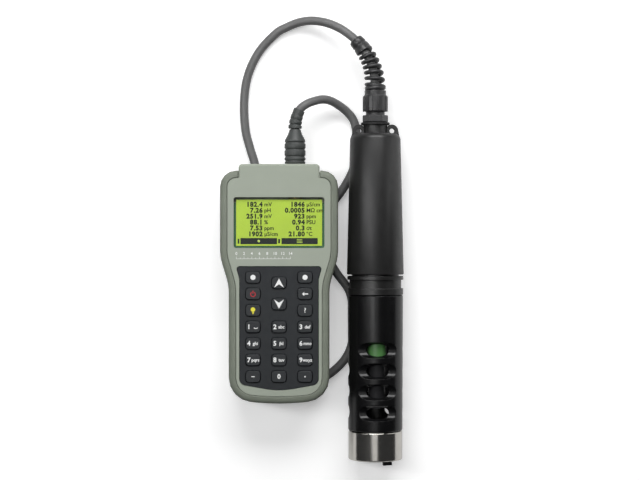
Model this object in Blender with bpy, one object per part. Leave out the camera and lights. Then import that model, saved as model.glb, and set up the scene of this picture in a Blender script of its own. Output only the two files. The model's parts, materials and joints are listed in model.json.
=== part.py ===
"""Handheld water quality meter with its round multi-sensor probe, joined by a cable.

Both instruments lie on a flat surface at z = 0: the meter rests on its own cable, and the
probe lies beside it with the cable tucked against its side. +X is to the meter's right,
+Y towards its connector end and +Z up. Lengths are in metres.
"""

import math

import bmesh
import bpy
from mathutils import Matrix, Vector

MM = 0.001
GAP = 0.3 * MM              # clearance between pieces that touch

# --- cable -------------------------------------------------------------------------------
CORD_D = 6.8 * MM
CORD_R = CORD_D / 2
CORD_STEP = 15 * MM         # between the tube's rings
RELIEF_STEP = 4.5 * MM      # the same, inside the two reliefs

# --- meter: overall ----------------------------------------------------------------------
METER_X = -25.9 * MM
METER_Y = -26.8 * MM
METER_LIFT = CORD_D + GAP   # the back rests on the cable
METER_DEPTH = 35.2 * MM
UPPER_HALF_WIDTH = 46.0 * MM
GRIP_HALF_WIDTH = 39.2 * MM
SHOULDER_Y = 88.0 * MM
TAPER_TOP_Y = 21.0 * MM
TAPER_BOTTOM_Y = -1.5 * MM
FOOT_CORNER_Y = -90.8 * MM
FOOT_Y = -94.2 * MM
SHOULDER_ROUND = 12.5 * MM
TAPER_ROUND = 40 * MM
FOOT_CORNER_ROUND = 19 * MM
FOOT_ROUND = 200 * MM
ARC_STEPS = 4

# --- meter: boot and case ----------------------------------------------------------------
BOOT_WALL = 3.0 * MM
BOOT_BACK_LIP = 2.0 * MM
BOOT_FRONT_LIP = 2.0 * MM
BOOT_EDGE = 3.2 * MM        # rounding of the boot's outer edges
FRONT_LIP_WIDTH = 5.6 * MM
BACK_LIP_WIDTH = 4.2 * MM
CASE_WALL = 2.5 * MM
FACE_THICK = 2.2 * MM
FACE_RISE = 0.3 * MM        # the boot's lip stands this far above the face
BACK_THICK = 4.2 * MM
BACK_PAD_INSET = 0.8 * MM   # the back's middle lies this far inside the boot's back
PARTING = 9.5 * MM          # height of the case's parting plane above the back
CASE_SEAL = 1.2 * MM
HEAD_HALF_WIDTH = 31.6 * MM
HEAD_TOP_Y = 93.1 * MM
HEAD_BOTTOM_Y = 79.0 * MM
HEAD_FLOOR = 9.0 * MM
HEAD_EDGE = 1.2 * MM
HEAD_ROUND = 3 * MM

# --- meter: display and keypad -----------------------------------------------------------
WINDOW_Y = 47.4 * MM
WINDOW_WIDTH = 69.9 * MM
WINDOW_HEIGHT = 38.9 * MM
WINDOW_ROUND = 1.5 * MM
WINDOW_THICK = 1.5 * MM
WINDOW_DEPTH = 0.8 * MM
LCD_THICK = 2.3 * MM
LCD_MARGIN = 1.5 * MM
PANEL_TOP_Y = 13.3 * MM
PANEL_NECK_Y = 3.6 * MM
PANEL_CORNER_Y = -78.2 * MM
PANEL_FOOT_Y = -83.6 * MM
PANEL_TOP_HALF = 33.3 * MM
PANEL_HALF = 30.6 * MM
PANEL_CORNER_ROUND = 5 * MM
PANEL_NECK_ROUND = 6 * MM
PANEL_TOP_ROUND = 2 * MM
PANEL_FOOT_ROUND = 60 * MM
PANEL_THICK = 2.2 * MM
PANEL_DEPTH = 0.4 * MM
KEY_WIDTH = 11.6 * MM
KEY_HEIGHT = 9.2 * MM
KEY_ROUND = 2.4 * MM
KEY_RISE = 1.2 * MM
KEY_FLANGE = 0.9 * MM
KEY_FLANGE_THICK = 1.0 * MM
KEY_TRAVEL = 0.8 * MM
KEY_PITCH_X = 20.2 * MM
KEY_PITCH_Y = 12.85 * MM
KEY_TOP_Y = 4.9 * MM
ARROW_UP_Y = 0.6 * MM
ARROW_DOWN_Y = -15.9 * MM
KEY_ROWS = (
    ("key_soft_left", None, "key_soft_right"),
    ("key_power", None, "key_back"),
    ("key_light", None, "key_help"),
    ("key_1", "key_2", "key_3"),
    ("key_4", "key_5", "key_6"),
    ("key_7", "key_8", "key_9"),
    ("key_minus", "key_0", "key_point"),
)
BOARD_THICK = 1.6 * MM

# --- meter: batteries --------------------------------------------------------------------
CELL_D = 14.5 * MM
CELL_LENGTH = 50.5 * MM
CELL_NUB = 1.2 * MM          # length of the raised end
CELL_NUB_R = 2.7 * MM
CELL_COUNT = 4
CELL_SPACING = 0.4 * MM      # between neighbouring cells
CELL_PITCH = CELL_D + CELL_SPACING
CELLS_Y = -40 * MM
COVER_END_MARGIN = 10.45 * MM    # from the cells' room to the cover's end
COVER_SIDE_MARGIN = 3.1 * MM
COVER_THICK = 2.2 * MM
COVER_ROUND = 4 * MM
COVER_SEAL = 0.8 * MM
COVER_SEAL_WIDTH = 1.6 * MM
COVER_LEDGE = 1.4 * MM      # height of the seal's room above the cover
SCREW_FROM_SIDE = 6.0 * MM
SCREW_FROM_END = 4.6 * MM
SCREW_HEAD_R = 2.6 * MM
SCREW_HEAD = 1.0 * MM
SCREW_SINK = 0.2 * MM       # the heads lie this far inside the cover
SCREW_R = 1.4 * MM

# --- meter: socket and plug --------------------------------------------------------------
PLUG_X = 12.2 * MM          # from the meter's middle
PLUG_R = 8.3 * MM
PLUG_LENGTH = 19.6 * MM
PLUG_GROOVES = (2.6 * MM, 6.1 * MM, 11.7 * MM, 17.0 * MM)
PLUG_GROOVE_DEPTH = 0.7 * MM
PLUG_GROOVE_WIDTH = 1.0 * MM
PLUG_TAPER = 8.1 * MM
PLUG_TIP_R = 4.2 * MM
PLUG_BORE_R = 6.4 * MM
PLUG_BORE = 9 * MM
SOCKET_R = 5.8 * MM
SOCKET_FLARE_R = 7.0 * MM     # widened inner end, which holds it in the case
SOCKET_REACH = 8 * MM       # how far it enters the plug
SOCKET_INSIDE = 14 * MM
RELIEF_RIBS = 4
RELIEF_STEPS = 14
RELIEF_LENGTH = 15 * MM
RELIEF_LEAN = 3.6 * MM
RELIEF_RIB_R = 5.3 * MM
RELIEF_NECK_R = 4.5 * MM

# --- probe: overall ----------------------------------------------------------------------
HOUSING_RIM_R = 22.4 * MM
SIDE_GAP = 7.0 * MM         # between the meter and the probe
PROBE_X = METER_X + UPPER_HALF_WIDTH + SIDE_GAP + HOUSING_RIM_R
PROBE_Z = HOUSING_RIM_R     # the probe lies on its widest rim
ROUND_STEPS = 32
SHIELD_STEPS = 40
KEY_ARC_STEPS = 2

# --- probe housing (stations along Y) ----------------------------------------------------
HOUSING_FOOT = -20.0 * MM
HOUSING_SHOULDER = 86.7 * MM
HOUSING_SHOULDER_R = 19.9 * MM
SHOULDER_RISE = 4.0 * MM
NECK_R = 9.5 * MM
NECK_TOP = 97.3 * MM
HOUSING_WALL = 3.6 * MM
HOUSING_END_WALL = 5.0 * MM
GLAND_THREAD_R = 6.3 * MM
EAR_X = 13.0 * MM
EAR_Y = 93.0 * MM
EAR_R = 5.0 * MM
EAR_HOLE_R = 1.9 * MM
EAR_THICK = 5.0 * MM
PROBE_BOARD_WIDTH = 28 * MM
PROBE_BOARD_LENGTH = 78 * MM

# --- sensor carrier ----------------------------------------------------------------------
CARRIER_RING_R = 22.1 * MM
CARRIER_RING_TOP = -21.2 * MM
CARRIER_RING_FOOT = -24.1 * MM
CARRIER_WAIST_R = 20.4 * MM
CARRIER_FLANGE_TOP = -30.9 * MM
CARRIER_FLANGE_FOOT = -35.8 * MM
CARRIER_FLANGE_R = 22.0 * MM
CARRIER_SPIGOT = 15 * MM
CARRIER_STUB = 11 * MM
SEAL_TUBE_R = 1.15 * MM
SEAL_SIDES = 6
SEAL_FROM_TOP = 7 * MM

# --- sensors -----------------------------------------------------------------------------
PROBE_ROLL = 4.5            # degrees about the probe's axis
SENSOR_SPREAD = 9.6 * MM    # sensor axes from the probe's axis
SENSOR_R = 7.5 * MM
SENSOR_NECK_R = 4.9 * MM
SENSOR_NECK = 16 * MM
SENSOR_TIP_R = 6.6 * MM
PIN_R = 1.8 * MM
PIN_LENGTH = 62 * MM
SENSORS = (                 # name, degrees from the top, body length, tip length
    ("sensor_ph", 0, 37.0 * MM, 40.0 * MM),
    ("sensor_ec", 120, 62.0 * MM, 10.0 * MM),
    ("sensor_oxygen", 240, 55.0 * MM, 8.0 * MM),
)

# --- shield and weight ring --------------------------------------------------------------
SHIELD_TOP = -36.2 * MM
SHIELD_TOP_R = 21.8 * MM
SHIELD_FOOT_R = 21.4 * MM
SHIELD_BORE_R = 18.0 * MM
SHIELD_SHOULDER = -142.4 * MM
SKIRT_R = 19.0 * MM
RING_LENGTH = 22.8 * MM
RING_R = 21.3 * MM
RING_CHAMFER = 0.8 * MM
LUG_LENGTH = 2.4 * MM
LUG_WIDTH = 7.5 * MM
LUG_DEPTH = 2.2 * MM
LUG_ANGLE = 27
SLOT_R = 6.25 * MM
SLOT_AXIS_R = 22.0 * MM     # slot cutters' axes from the probe's axis
SLOT_FIRST = -78.7 * MM
SLOT_PITCH = 16.3 * MM
SLOT_COUNT = 4
SLOT_ROWS = 3

# --- gland and spiral relief -------------------------------------------------------------
WASHER_R = 11.3 * MM
WASHER_THICK = 2.0 * MM
HEX_R = 10.1 * MM
HEX_LENGTH = 5.5 * MM
GLAND_NECK_R = 7.4 * MM
GLAND_NECK = 3.0 * MM
NUT_LENGTH = 16.4 * MM
NUT_SKIRT = 12.2 * MM
NUT_SKIRT_R = 9.4 * MM
NUT_TOP_R = 8.5 * MM
NUT_RIBS = 8
NUT_RIB = 0.7 * MM
NUT_WALL = 1.8 * MM
SPIRAL_TURNS = 6.2
SPIRAL_WIRE_R = 1.55 * MM
SPIRAL_BASE_R = 6.9 * MM    # from the bend line to the wire's middle
SPIRAL_END_R = 5.3 * MM
SPIRAL_RING_BORE = CORD_R + GAP
SPIRAL_TURN_STEPS = 12
SPIRAL_SIDES = 6
COLLAR_BASE_R = 6.6 * MM
COLLAR_TIP_R = 5.6 * MM
RELIEF_FOOT_R = 8.2 * MM
COIL_START, COIL_END = 0.055, 0.80      # shares of the bend that the coil takes
COLLAR_START, COLLAR_END = 0.78, 1.0
FOOT_START, FOOT_END = 0.01, 0.07


def finish(color, roughness, metallic=0.0, alpha=1.0):
    return {"color": color, "roughness": roughness, "metallic": metallic, "alpha": alpha}


BOOT_RUBBER = finish((0.30, 0.34, 0.28), 0.7)
CASE_PLASTIC = finish((0.33, 0.36, 0.31), 0.5)
DARK_PLASTIC = finish((0.03, 0.035, 0.04), 0.5)
KEY_RUBBER = finish((0.05, 0.055, 0.06), 0.6)
CLEAR = finish((0.9, 0.95, 0.9), 0.05, alpha=0.35)
LCD_GREEN = finish((0.45, 0.65, 0.05), 0.3)
BOARD_GREEN = finish((0.02, 0.20, 0.06), 0.5)
CELL_FOIL = finish((0.25, 0.26, 0.28), 0.35, 0.6)
SEAL_RUBBER = finish((0.02, 0.02, 0.02), 0.8)
STEEL = finish((0.62, 0.61, 0.58), 0.2, 1.0)
CORD_RUBBER = finish((0.07, 0.07, 0.07), 0.55)
GLAND_NYLON = finish((0.06, 0.06, 0.06), 0.45)
HOUSING_PLASTIC = finish((0.05, 0.05, 0.05), 0.5)
SHIELD_PLASTIC = finish((0.012, 0.012, 0.012), 0.3)
SENSOR_GREEN = finish((0.06, 0.18, 0.05), 0.5)
SENSOR_BLACK = finish((0.02, 0.02, 0.02), 0.4)
SOCKET_BRASS = finish((0.55, 0.42, 0.2), 0.3, 1.0)


# --- building blocks ---------------------------------------------------------------------

def clear_scene():
    for existing in list(bpy.data.objects):
        bpy.data.objects.remove(existing, do_unlink=True)


def material(name, look):
    made = bpy.data.materials.new(name + "_finish")
    made.use_nodes = True
    shader = made.node_tree.nodes["Principled BSDF"]
    shader.inputs["Base Color"].default_value = (*look["color"], 1.0)
    shader.inputs["Roughness"].default_value = look["roughness"]
    shader.inputs["Metallic"].default_value = look["metallic"]
    shader.inputs["Alpha"].default_value = look["alpha"]
    return made


def place(name, mesh, look, at=(0, 0, 0), parent=None, smooth=True):
    """Puts a mesh in the scene as one named piece, with a material of its own."""
    piece = bpy.data.objects.new(name, mesh)
    bpy.context.scene.collection.objects.link(piece)
    piece.location = at
    piece.parent = parent
    if smooth:
        mesh.shade_smooth()
        mesh.set_sharp_from_angle(angle=math.radians(35))
    if look:
        mesh.materials.append(material(name, look))
    return piece


def helper(name, mesh, parent=None, at=(0, 0, 0), turn=None):
    """A cutter or an addition, which is not a piece itself."""
    guide = bpy.data.objects.new(name, mesh)
    bpy.context.scene.collection.objects.link(guide)
    guide.location = at
    guide.parent = parent
    if turn:
        guide.rotation_euler = turn
    guide.hide_render = True
    guide.display_type = "WIRE"
    return guide


def boolean(piece, other, operation="DIFFERENCE"):
    modifier = piece.modifiers.new(other.name, "BOOLEAN")
    modifier.operation = operation
    modifier.solver = "EXACT"
    modifier.object = other


def closed_mesh(name, build):
    """A mesh from a bmesh that build fills, with its faces pointing out."""
    shape = bmesh.new()
    build(shape)
    bmesh.ops.recalc_face_normals(shape, faces=shape.faces)
    mesh = bpy.data.meshes.new(name)
    shape.to_mesh(mesh)
    shape.free()
    return mesh


def lofted(name, rings, looped=False):
    """A skin through rings of equally many points: capped at both ends, or joined end to end."""
    def build(shape):
        made = [[shape.verts.new(point) for point in ring] for ring in rings]
        count = len(rings[0])
        following = made[1:] + made[:1] if looped else made[1:]
        for lower, upper in zip(made, following):
            for i in range(count):
                j = (i + 1) % count
                shape.faces.new((lower[i], lower[j], upper[j], upper[i]))
        if not looped:
            shape.faces.new(made[0])
            shape.faces.new(made[-1])
    return closed_mesh(name, build)


def turned(name, profile, looped=True, steps=ROUND_STEPS):
    """A turned body about local Z from a profile of (radius, height) points."""
    rings = []
    for radius, height in profile:
        turns = [2 * math.pi * i / steps for i in range(steps)]
        rings.append([(radius * math.cos(a), radius * math.sin(a), height) for a in turns])
    return lofted(name, rings, looped)


def plain_cylinder(name, radius, low, high, steps=ROUND_STEPS):
    return turned(name, [(radius, low), (radius, high)], looped=False, steps=steps)


def corner_arc(before, corner, after, radius, steps):
    """Points of the round that replaces a corner, on a circle that touches both edges."""
    arriving = (corner - before).normalized()
    leaving = (after - corner).normalized()
    turn = arriving.angle_signed(leaving)
    reach = radius * math.tan(abs(turn) / 2)
    start = corner - arriving * reach
    side = 1 if turn < 0 else -1
    centre = start + Vector((-arriving.y, arriving.x)) * radius * side
    spoke = start - centre
    return [centre + Matrix.Rotation(-turn * i / steps, 2) @ spoke for i in range(steps + 1)]


def rounded_outline(corners, inset=0.0, steps=ARC_STEPS):
    """A closed outline with rounded corners, anticlockwise, moved inwards by inset.

    Each corner is (x, y, radius). Outward corners lose the inset from their radius and
    inward corners gain it, so that walls keep one thickness.
    """
    points = [Vector(corner[:2]) for corner in corners]
    count = len(points)
    moved = []
    for i in range(count):
        arriving = (points[i] - points[i - 1]).normalized()
        leaving = (points[(i + 1) % count] - points[i]).normalized()
        bisector = Vector((-arriving.y - leaving.y, arriving.x + leaving.x)).normalized()
        shift = inset / bisector.dot(Vector((-arriving.y, arriving.x)))
        moved.append(points[i] + bisector * shift)
    outline = []
    for i in range(count):
        before, corner, after = moved[i - 1], moved[i], moved[(i + 1) % count]
        outward = (corner - before).angle_signed(after - corner) < 0
        radius = corners[i][2] + (-inset if outward else inset)
        outline += corner_arc(before, corner, after, max(radius, 0.2 * MM), steps)
    return outline


def mirrored(half):
    """Corners on the right side, bottom to top, and their mirror image, top to bottom."""
    return half + [(-x, y, radius) for x, y, radius in reversed(half)]


def box_corners(width, height, radius, x=0.0, y=0.0):
    low, high = (x - width / 2, y - height / 2), (x + width / 2, y + height / 2)
    return [(high[0], low[1], radius), (high[0], high[1], radius),
            (low[0], high[1], radius), (low[0], low[1], radius)]


def stack(name, corners, levels, looped=False, steps=ARC_STEPS):
    """A body with one outline at several (inset, height) levels."""
    rings = []
    for inset, height in levels:
        outline = rounded_outline(corners, inset, steps)
        rings.append([(point.x, point.y, height) for point in outline])
    return lofted(name, rings, looped)


def box(name, low, high):
    rings = []
    for height in (low[2], high[2]):
        rings.append([(low[0], low[1], height), (high[0], low[1], height),
                      (high[0], high[1], height), (low[0], high[1], height)])
    return lofted(name, rings)


# --- the meter ---------------------------------------------------------------------------

METER_OUTLINE = (
    mirrored([
        (GRIP_HALF_WIDTH, FOOT_CORNER_Y, FOOT_CORNER_ROUND),
        (GRIP_HALF_WIDTH, TAPER_BOTTOM_Y, TAPER_ROUND),
        (UPPER_HALF_WIDTH, TAPER_TOP_Y, TAPER_ROUND),
        (UPPER_HALF_WIDTH, SHOULDER_Y, SHOULDER_ROUND),
    ])
    + [(0.0, FOOT_Y, FOOT_ROUND)]
)
CASE_INSET = BOOT_WALL + GAP
FRONT_WINDOW = FRONT_LIP_WIDTH + GAP
BACK_WINDOW = BACK_LIP_WIDTH + GAP
TOP = METER_DEPTH                       # heights above the meter's back
FACE = TOP - FACE_RISE
FACE_SHELF = TOP - BOOT_FRONT_LIP - GAP
BACK_SHELF = BOOT_BACK_LIP + GAP
BACK_INNER = BACK_SHELF + BACK_THICK
PANEL_TOP = FACE - PANEL_DEPTH
PANEL_BACK = PANEL_TOP - PANEL_THICK
KEY_STEM = PANEL_BACK - GAP
KEY_BACK = KEY_STEM - KEY_FLANGE_THICK
BOARD_TOP = KEY_BACK - KEY_TRAVEL - GAP
BOARD_BACK = BOARD_TOP - BOARD_THICK
WINDOW_TOP = FACE - WINDOW_DEPTH
WINDOW_BACK = WINDOW_TOP - WINDOW_THICK
COVER_BACK = BACK_PAD_INSET
COVER_TOP = COVER_BACK + COVER_THICK
COVER_ROOM = COVER_TOP + COVER_LEDGE
SEAL_LOW = COVER_TOP + GAP
SOCKET_Z = METER_DEPTH / 2
CELL_ROOM_WIDTH = CELL_PITCH * (CELL_COUNT - 1) + CELL_D + 2 * GAP
CELL_ROOM_LENGTH = CELL_LENGTH + 2 * GAP
COVER_WIDTH = CELL_ROOM_WIDTH + 2 * COVER_SIDE_MARGIN
COVER_LENGTH = CELL_ROOM_LENGTH + 2 * COVER_END_MARGIN


def panel_corners():
    half = [
        (PANEL_HALF, PANEL_CORNER_Y, PANEL_CORNER_ROUND),
        (PANEL_HALF, PANEL_NECK_Y, PANEL_NECK_ROUND),
        (PANEL_TOP_HALF, PANEL_TOP_Y, PANEL_TOP_ROUND),
    ]
    return mirrored(half) + [(0.0, PANEL_FOOT_Y, PANEL_FOOT_ROUND)]


def make_boot(meter):
    profile = [
        (BACK_LIP_WIDTH, 0.0), (BOOT_EDGE, 0.0), (BOOT_EDGE * 0.3, BOOT_EDGE * 0.3),
        (0.0, BOOT_EDGE), (0.0, TOP - BOOT_EDGE),
        (BOOT_EDGE * 0.3, TOP - BOOT_EDGE * 0.3), (BOOT_EDGE, TOP),
        (FRONT_LIP_WIDTH, TOP), (FRONT_LIP_WIDTH, TOP - BOOT_FRONT_LIP),
        (BOOT_WALL, TOP - BOOT_FRONT_LIP), (BOOT_WALL, BOOT_BACK_LIP),
        (BACK_LIP_WIDTH, BOOT_BACK_LIP),
    ]
    boot = place("rubber_boot", stack("rubber_boot", METER_OUTLINE, profile, looped=True),
                 BOOT_RUBBER, parent=meter)
    notch = box("head_notch",
                (-HEAD_HALF_WIDTH - GAP, HEAD_BOTTOM_Y - GAP, HEAD_FLOOR - GAP),
                (HEAD_HALF_WIDTH + GAP, HEAD_TOP_Y + 5 * MM, TOP + 5 * MM))
    boolean(boot, helper("head_notch", notch, meter))


def make_front_case(meter):
    parting = PARTING + CASE_SEAL + GAP
    inner = CASE_INSET + CASE_WALL
    levels = [
        (inner, FACE_SHELF - FACE_THICK), (inner, parting),
        (CASE_INSET, parting), (CASE_INSET, FACE_SHELF),
        (FRONT_WINDOW, FACE_SHELF), (FRONT_WINDOW, FACE),
    ]
    case = place("front_case", stack("front_case", METER_OUTLINE, levels),
                 CASE_PLASTIC, parent=meter)
    head = stack("case_head",
                 box_corners(2 * HEAD_HALF_WIDTH, HEAD_TOP_Y - HEAD_BOTTOM_Y, HEAD_ROUND,
                             y=(HEAD_TOP_Y + HEAD_BOTTOM_Y) / 2),
                 [(HEAD_EDGE, parting), (0.0, parting + HEAD_EDGE), (0.0, FACE - HEAD_EDGE),
                  (HEAD_EDGE, FACE)])
    boolean(case, helper("case_head", head, meter), "UNION")
    window = box_corners(WINDOW_WIDTH, WINDOW_HEIGHT, WINDOW_ROUND, y=WINDOW_Y)
    for name, corners in (("window_cut", window), ("panel_cut", panel_corners())):
        cut = stack(name, corners, [(-GAP, FACE - 9 * MM), (-GAP, TOP + 2 * MM)])
        boolean(case, helper(name, cut, meter))
    bore = plain_cylinder("socket_bore", SOCKET_R + GAP, HEAD_BOTTOM_Y - 20 * MM,
                          HEAD_TOP_Y + 5 * MM, 32)
    boolean(case, helper("socket_bore", bore, meter, (PLUG_X, 0, SOCKET_Z),
                         (-math.pi / 2, 0, 0)))


def screw_places():
    end = COVER_LENGTH / 2 - SCREW_FROM_END
    side = COVER_WIDTH / 2 - SCREW_FROM_SIDE
    return [(x, CELLS_Y + y) for y in (-end, end) for x in (-side, side)]


def make_rear_case(meter):
    inner = CASE_INSET + CASE_WALL
    levels = [
        (BACK_WINDOW, BACK_PAD_INSET), (BACK_WINDOW, BACK_SHELF), (CASE_INSET, BACK_SHELF),
        (CASE_INSET, PARTING), (inner, PARTING), (inner, BACK_INNER),
    ]
    case = place("rear_case", stack("rear_case", METER_OUTLINE, levels),
                 CASE_PLASTIC, parent=meter)
    recess = stack("cover_recess", box_corners(COVER_WIDTH, COVER_LENGTH, COVER_ROUND,
                                               y=CELLS_Y),
                   [(-GAP, -5 * MM), (-GAP, COVER_ROOM)])
    boolean(case, helper("cover_recess", recess, meter))
    half_width, half_length = CELL_ROOM_WIDTH / 2, CELL_ROOM_LENGTH / 2
    well = box("cell_well", (-half_width, CELLS_Y - half_length, -5 * MM),
               (half_width, CELLS_Y + half_length, PARTING))
    boolean(case, helper("cell_well", well, meter))
    for i, (x, y) in enumerate(screw_places()):
        pilot = plain_cylinder("pilot", SCREW_R + GAP, 0.0, PARTING, 16)
        boolean(case, helper(f"pilot_{i + 1}", pilot, meter, (x, y, 0)))


def make_case_seal(meter):
    low, high = PARTING + GAP, PARTING + CASE_SEAL
    outer, inner = CASE_INSET + 0.4 * MM, CASE_INSET + CASE_WALL - 0.3 * MM
    levels = [(outer, low), (outer, high), (inner, high), (inner, low)]
    place("case_seal", stack("case_seal", METER_OUTLINE, levels, looped=True),
          SEAL_RUBBER, parent=meter)


def make_display(meter):
    window = box_corners(WINDOW_WIDTH, WINDOW_HEIGHT, WINDOW_ROUND, y=WINDOW_Y)
    place("display_window", stack("display_window", window,
                                  [(0.0, WINDOW_BACK), (0.0, WINDOW_TOP)]),
          CLEAR, parent=meter)
    top = WINDOW_BACK - GAP
    place("lcd_module", stack("lcd_module", window,
                              [(LCD_MARGIN, top - LCD_THICK), (LCD_MARGIN, top)]),
          LCD_GREEN, parent=meter)


def key_places():
    """Each key's name and its middle on the face."""
    places = {"key_up": (0.0, ARROW_UP_Y), "key_down": (0.0, ARROW_DOWN_Y)}
    for row, names in enumerate(KEY_ROWS):
        for column, name in enumerate(names):
            if name:
                places[name] = ((column - 1) * KEY_PITCH_X, KEY_TOP_Y - row * KEY_PITCH_Y)
    return places


def make_keypad(meter):
    panel = place("keypad_panel", stack("keypad_panel", panel_corners(),
                                        [(0.0, PANEL_BACK), (0.0, PANEL_TOP)]),
                  DARK_PLASTIC, parent=meter)
    for name, (x, y) in key_places().items():
        corners = box_corners(KEY_WIDTH, KEY_HEIGHT, KEY_ROUND)
        hole = stack("key_hole", corners, [(-GAP, KEY_STEM - MM), (-GAP, TOP + MM)],
                     steps=KEY_ARC_STEPS)
        boolean(panel, helper(name + "_hole", hole, meter, (x, y, 0)))
        crown = KEY_RISE + PANEL_TOP
        levels = [
            (-KEY_FLANGE, KEY_BACK), (-KEY_FLANGE, KEY_STEM), (0.0, KEY_STEM),
            (0.0, crown - 0.5 * MM), (0.5 * MM, crown),
        ]
        place(name, stack(name, corners, levels, steps=KEY_ARC_STEPS), KEY_RUBBER, (x, y, 0),
              meter)


def make_board(meter):
    inner = CASE_INSET + CASE_WALL + GAP
    board = stack("main_board", METER_OUTLINE, [(inner, BOARD_BACK), (inner, BOARD_TOP)])
    piece = place("main_board", board, BOARD_GREEN, parent=meter)
    edge = HEAD_BOTTOM_Y - SOCKET_INSIDE - 2 * MM
    trim = box("board_trim", (-60 * MM, edge, 0), (60 * MM, HEAD_TOP_Y, TOP))
    boolean(piece, helper("board_trim", trim, meter))


def make_batteries(meter):
    first = -CELL_PITCH * (CELL_COUNT - 1) / 2
    can = CELL_LENGTH / 2 - CELL_NUB
    centre = COVER_TOP + GAP + CELL_D / 2
    profile = [
        (CELL_D / 2 - 0.5 * MM, -CELL_LENGTH / 2), (CELL_D / 2, -CELL_LENGTH / 2 + 0.5 * MM),
        (CELL_D / 2, can - 0.5 * MM), (CELL_D / 2 - 0.5 * MM, can),
        (CELL_NUB_R, can), (CELL_NUB_R, CELL_LENGTH / 2),
    ]
    for i in range(CELL_COUNT):
        turn = 1 if i % 2 == 0 else -1
        cell = turned(f"battery_{i + 1}", profile, looped=False, steps=24)
        piece = place(f"battery_{i + 1}", cell, CELL_FOIL,
                      (first + i * CELL_PITCH, CELLS_Y, centre), meter)
        piece.rotation_euler = (-turn * math.pi / 2, 0, 0)
    cover_corners = box_corners(COVER_WIDTH, COVER_LENGTH, COVER_ROUND, y=CELLS_Y)
    cover = place("battery_cover", stack("battery_cover", cover_corners,
                                         [(0.0, COVER_BACK), (0.0, COVER_TOP)]),
                  CASE_PLASTIC, parent=meter)
    head_back = COVER_BACK + SCREW_SINK
    head_top = head_back + SCREW_HEAD
    for i, (x, y) in enumerate(screw_places()):
        sink = turned("screw_sink", [(SCREW_HEAD_R + GAP, -MM),
                                     (SCREW_HEAD_R + GAP, head_top + GAP),
                                     (SCREW_R + GAP, head_top + GAP),
                                     (SCREW_R + GAP, PARTING)], looped=False, steps=16)
        boolean(cover, helper(f"screw_sink_{i + 1}", sink, meter, (x, y, 0)))
        screw = turned("cover_screw", [(SCREW_HEAD_R, head_back),
                                       (SCREW_HEAD_R, head_top), (SCREW_R, head_top),
                                       (SCREW_R, BACK_INNER - 0.4 * MM)],
                       looped=False, steps=16)
        place(f"cover_screw_{i + 1}", screw, STEEL, (x, y, 0), meter)
    seal_corners = box_corners(CELL_ROOM_WIDTH + 2 * COVER_SEAL_WIDTH,
                               CELL_ROOM_LENGTH + 2 * COVER_SEAL_WIDTH,
                               COVER_SEAL_WIDTH, y=CELLS_Y)
    levels = [(0.0, SEAL_LOW), (0.0, SEAL_LOW + COVER_SEAL),
              (COVER_SEAL_WIDTH - GAP, SEAL_LOW + COVER_SEAL), (COVER_SEAL_WIDTH - GAP, SEAL_LOW)]
    place("cover_seal", stack("cover_seal", seal_corners, levels, looped=True),
          SEAL_RUBBER, parent=meter)


def make_plug(meter):
    """The socket in the meter's end, and the moulded plug and relief on the cable."""
    base = HEAD_TOP_Y
    at, turn = (PLUG_X, 0, SOCKET_Z), (-math.pi / 2, 0, 0)
    socket = turned("meter_socket", [
        (SOCKET_FLARE_R, HEAD_BOTTOM_Y - SOCKET_INSIDE),
        (SOCKET_R, HEAD_BOTTOM_Y - SOCKET_INSIDE + SOCKET_FLARE_R - SOCKET_R),
        (SOCKET_R, base + SOCKET_REACH), (SOCKET_R - MM, base + SOCKET_REACH),
    ], looped=False, steps=32)
    place("meter_socket", socket, SOCKET_BRASS, at, meter).rotation_euler = turn
    low = base + GAP
    profile = [(PLUG_BORE_R, low + PLUG_BORE), (PLUG_BORE_R, low), (PLUG_R - 0.5 * MM, low)]
    half = PLUG_GROOVE_WIDTH / 2
    for groove in PLUG_GROOVES:
        y = low + groove
        profile += [(PLUG_R, y - 1.6 * half), (PLUG_R - PLUG_GROOVE_DEPTH, y - half),
                    (PLUG_R - PLUG_GROOVE_DEPTH, y + half), (PLUG_R, y + 1.6 * half)]
    top = low + PLUG_LENGTH
    profile += [(PLUG_R - 0.6 * MM, top), (PLUG_R - 2.6 * MM, top + 0.45 * PLUG_TAPER),
                (PLUG_TIP_R, top + PLUG_TAPER)]
    plug = turned("plug_body", profile, looped=False, steps=24)
    place("plug_body", plug, CORD_RUBBER, at, meter).rotation_euler = turn
    start = top + PLUG_TAPER + GAP
    bore = CORD_R + GAP
    rib = RELIEF_LENGTH / RELIEF_RIBS
    levels = [(bore, 0.0)]
    for i in range(RELIEF_RIBS):
        shrink = 0.25 * MM * i
        levels += [(RELIEF_RIB_R - shrink, i * rib + 0.25 * MM),
                   (RELIEF_RIB_R - shrink, (i + 0.68) * rib),
                   (RELIEF_NECK_R, (i + 0.74) * rib), (RELIEF_NECK_R, (i + 0.97) * rib)]
    levels += [(bore, RELIEF_LENGTH * (1 - i / 5)) for i in range(5)]
    rings = []
    for radius, height in levels:
        share = height / RELIEF_LENGTH
        lean = RELIEF_LEAN * share ** 2
        tilt = math.atan(2 * RELIEF_LEAN * share / RELIEF_LENGTH)
        ring = []
        for i in range(RELIEF_STEPS):
            a = 2 * math.pi * i / RELIEF_STEPS
            along = radius * math.cos(a)
            ring.append((lean + along * math.cos(tilt), radius * math.sin(a),
                         start + height - along * math.sin(tilt)))
        rings.append(ring)
    relief = lofted("plug_relief", rings, looped=True)
    place("plug_relief", relief, CORD_RUBBER, at, meter).rotation_euler = turn


# --- the probe ---------------------------------------------------------------------------

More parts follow.
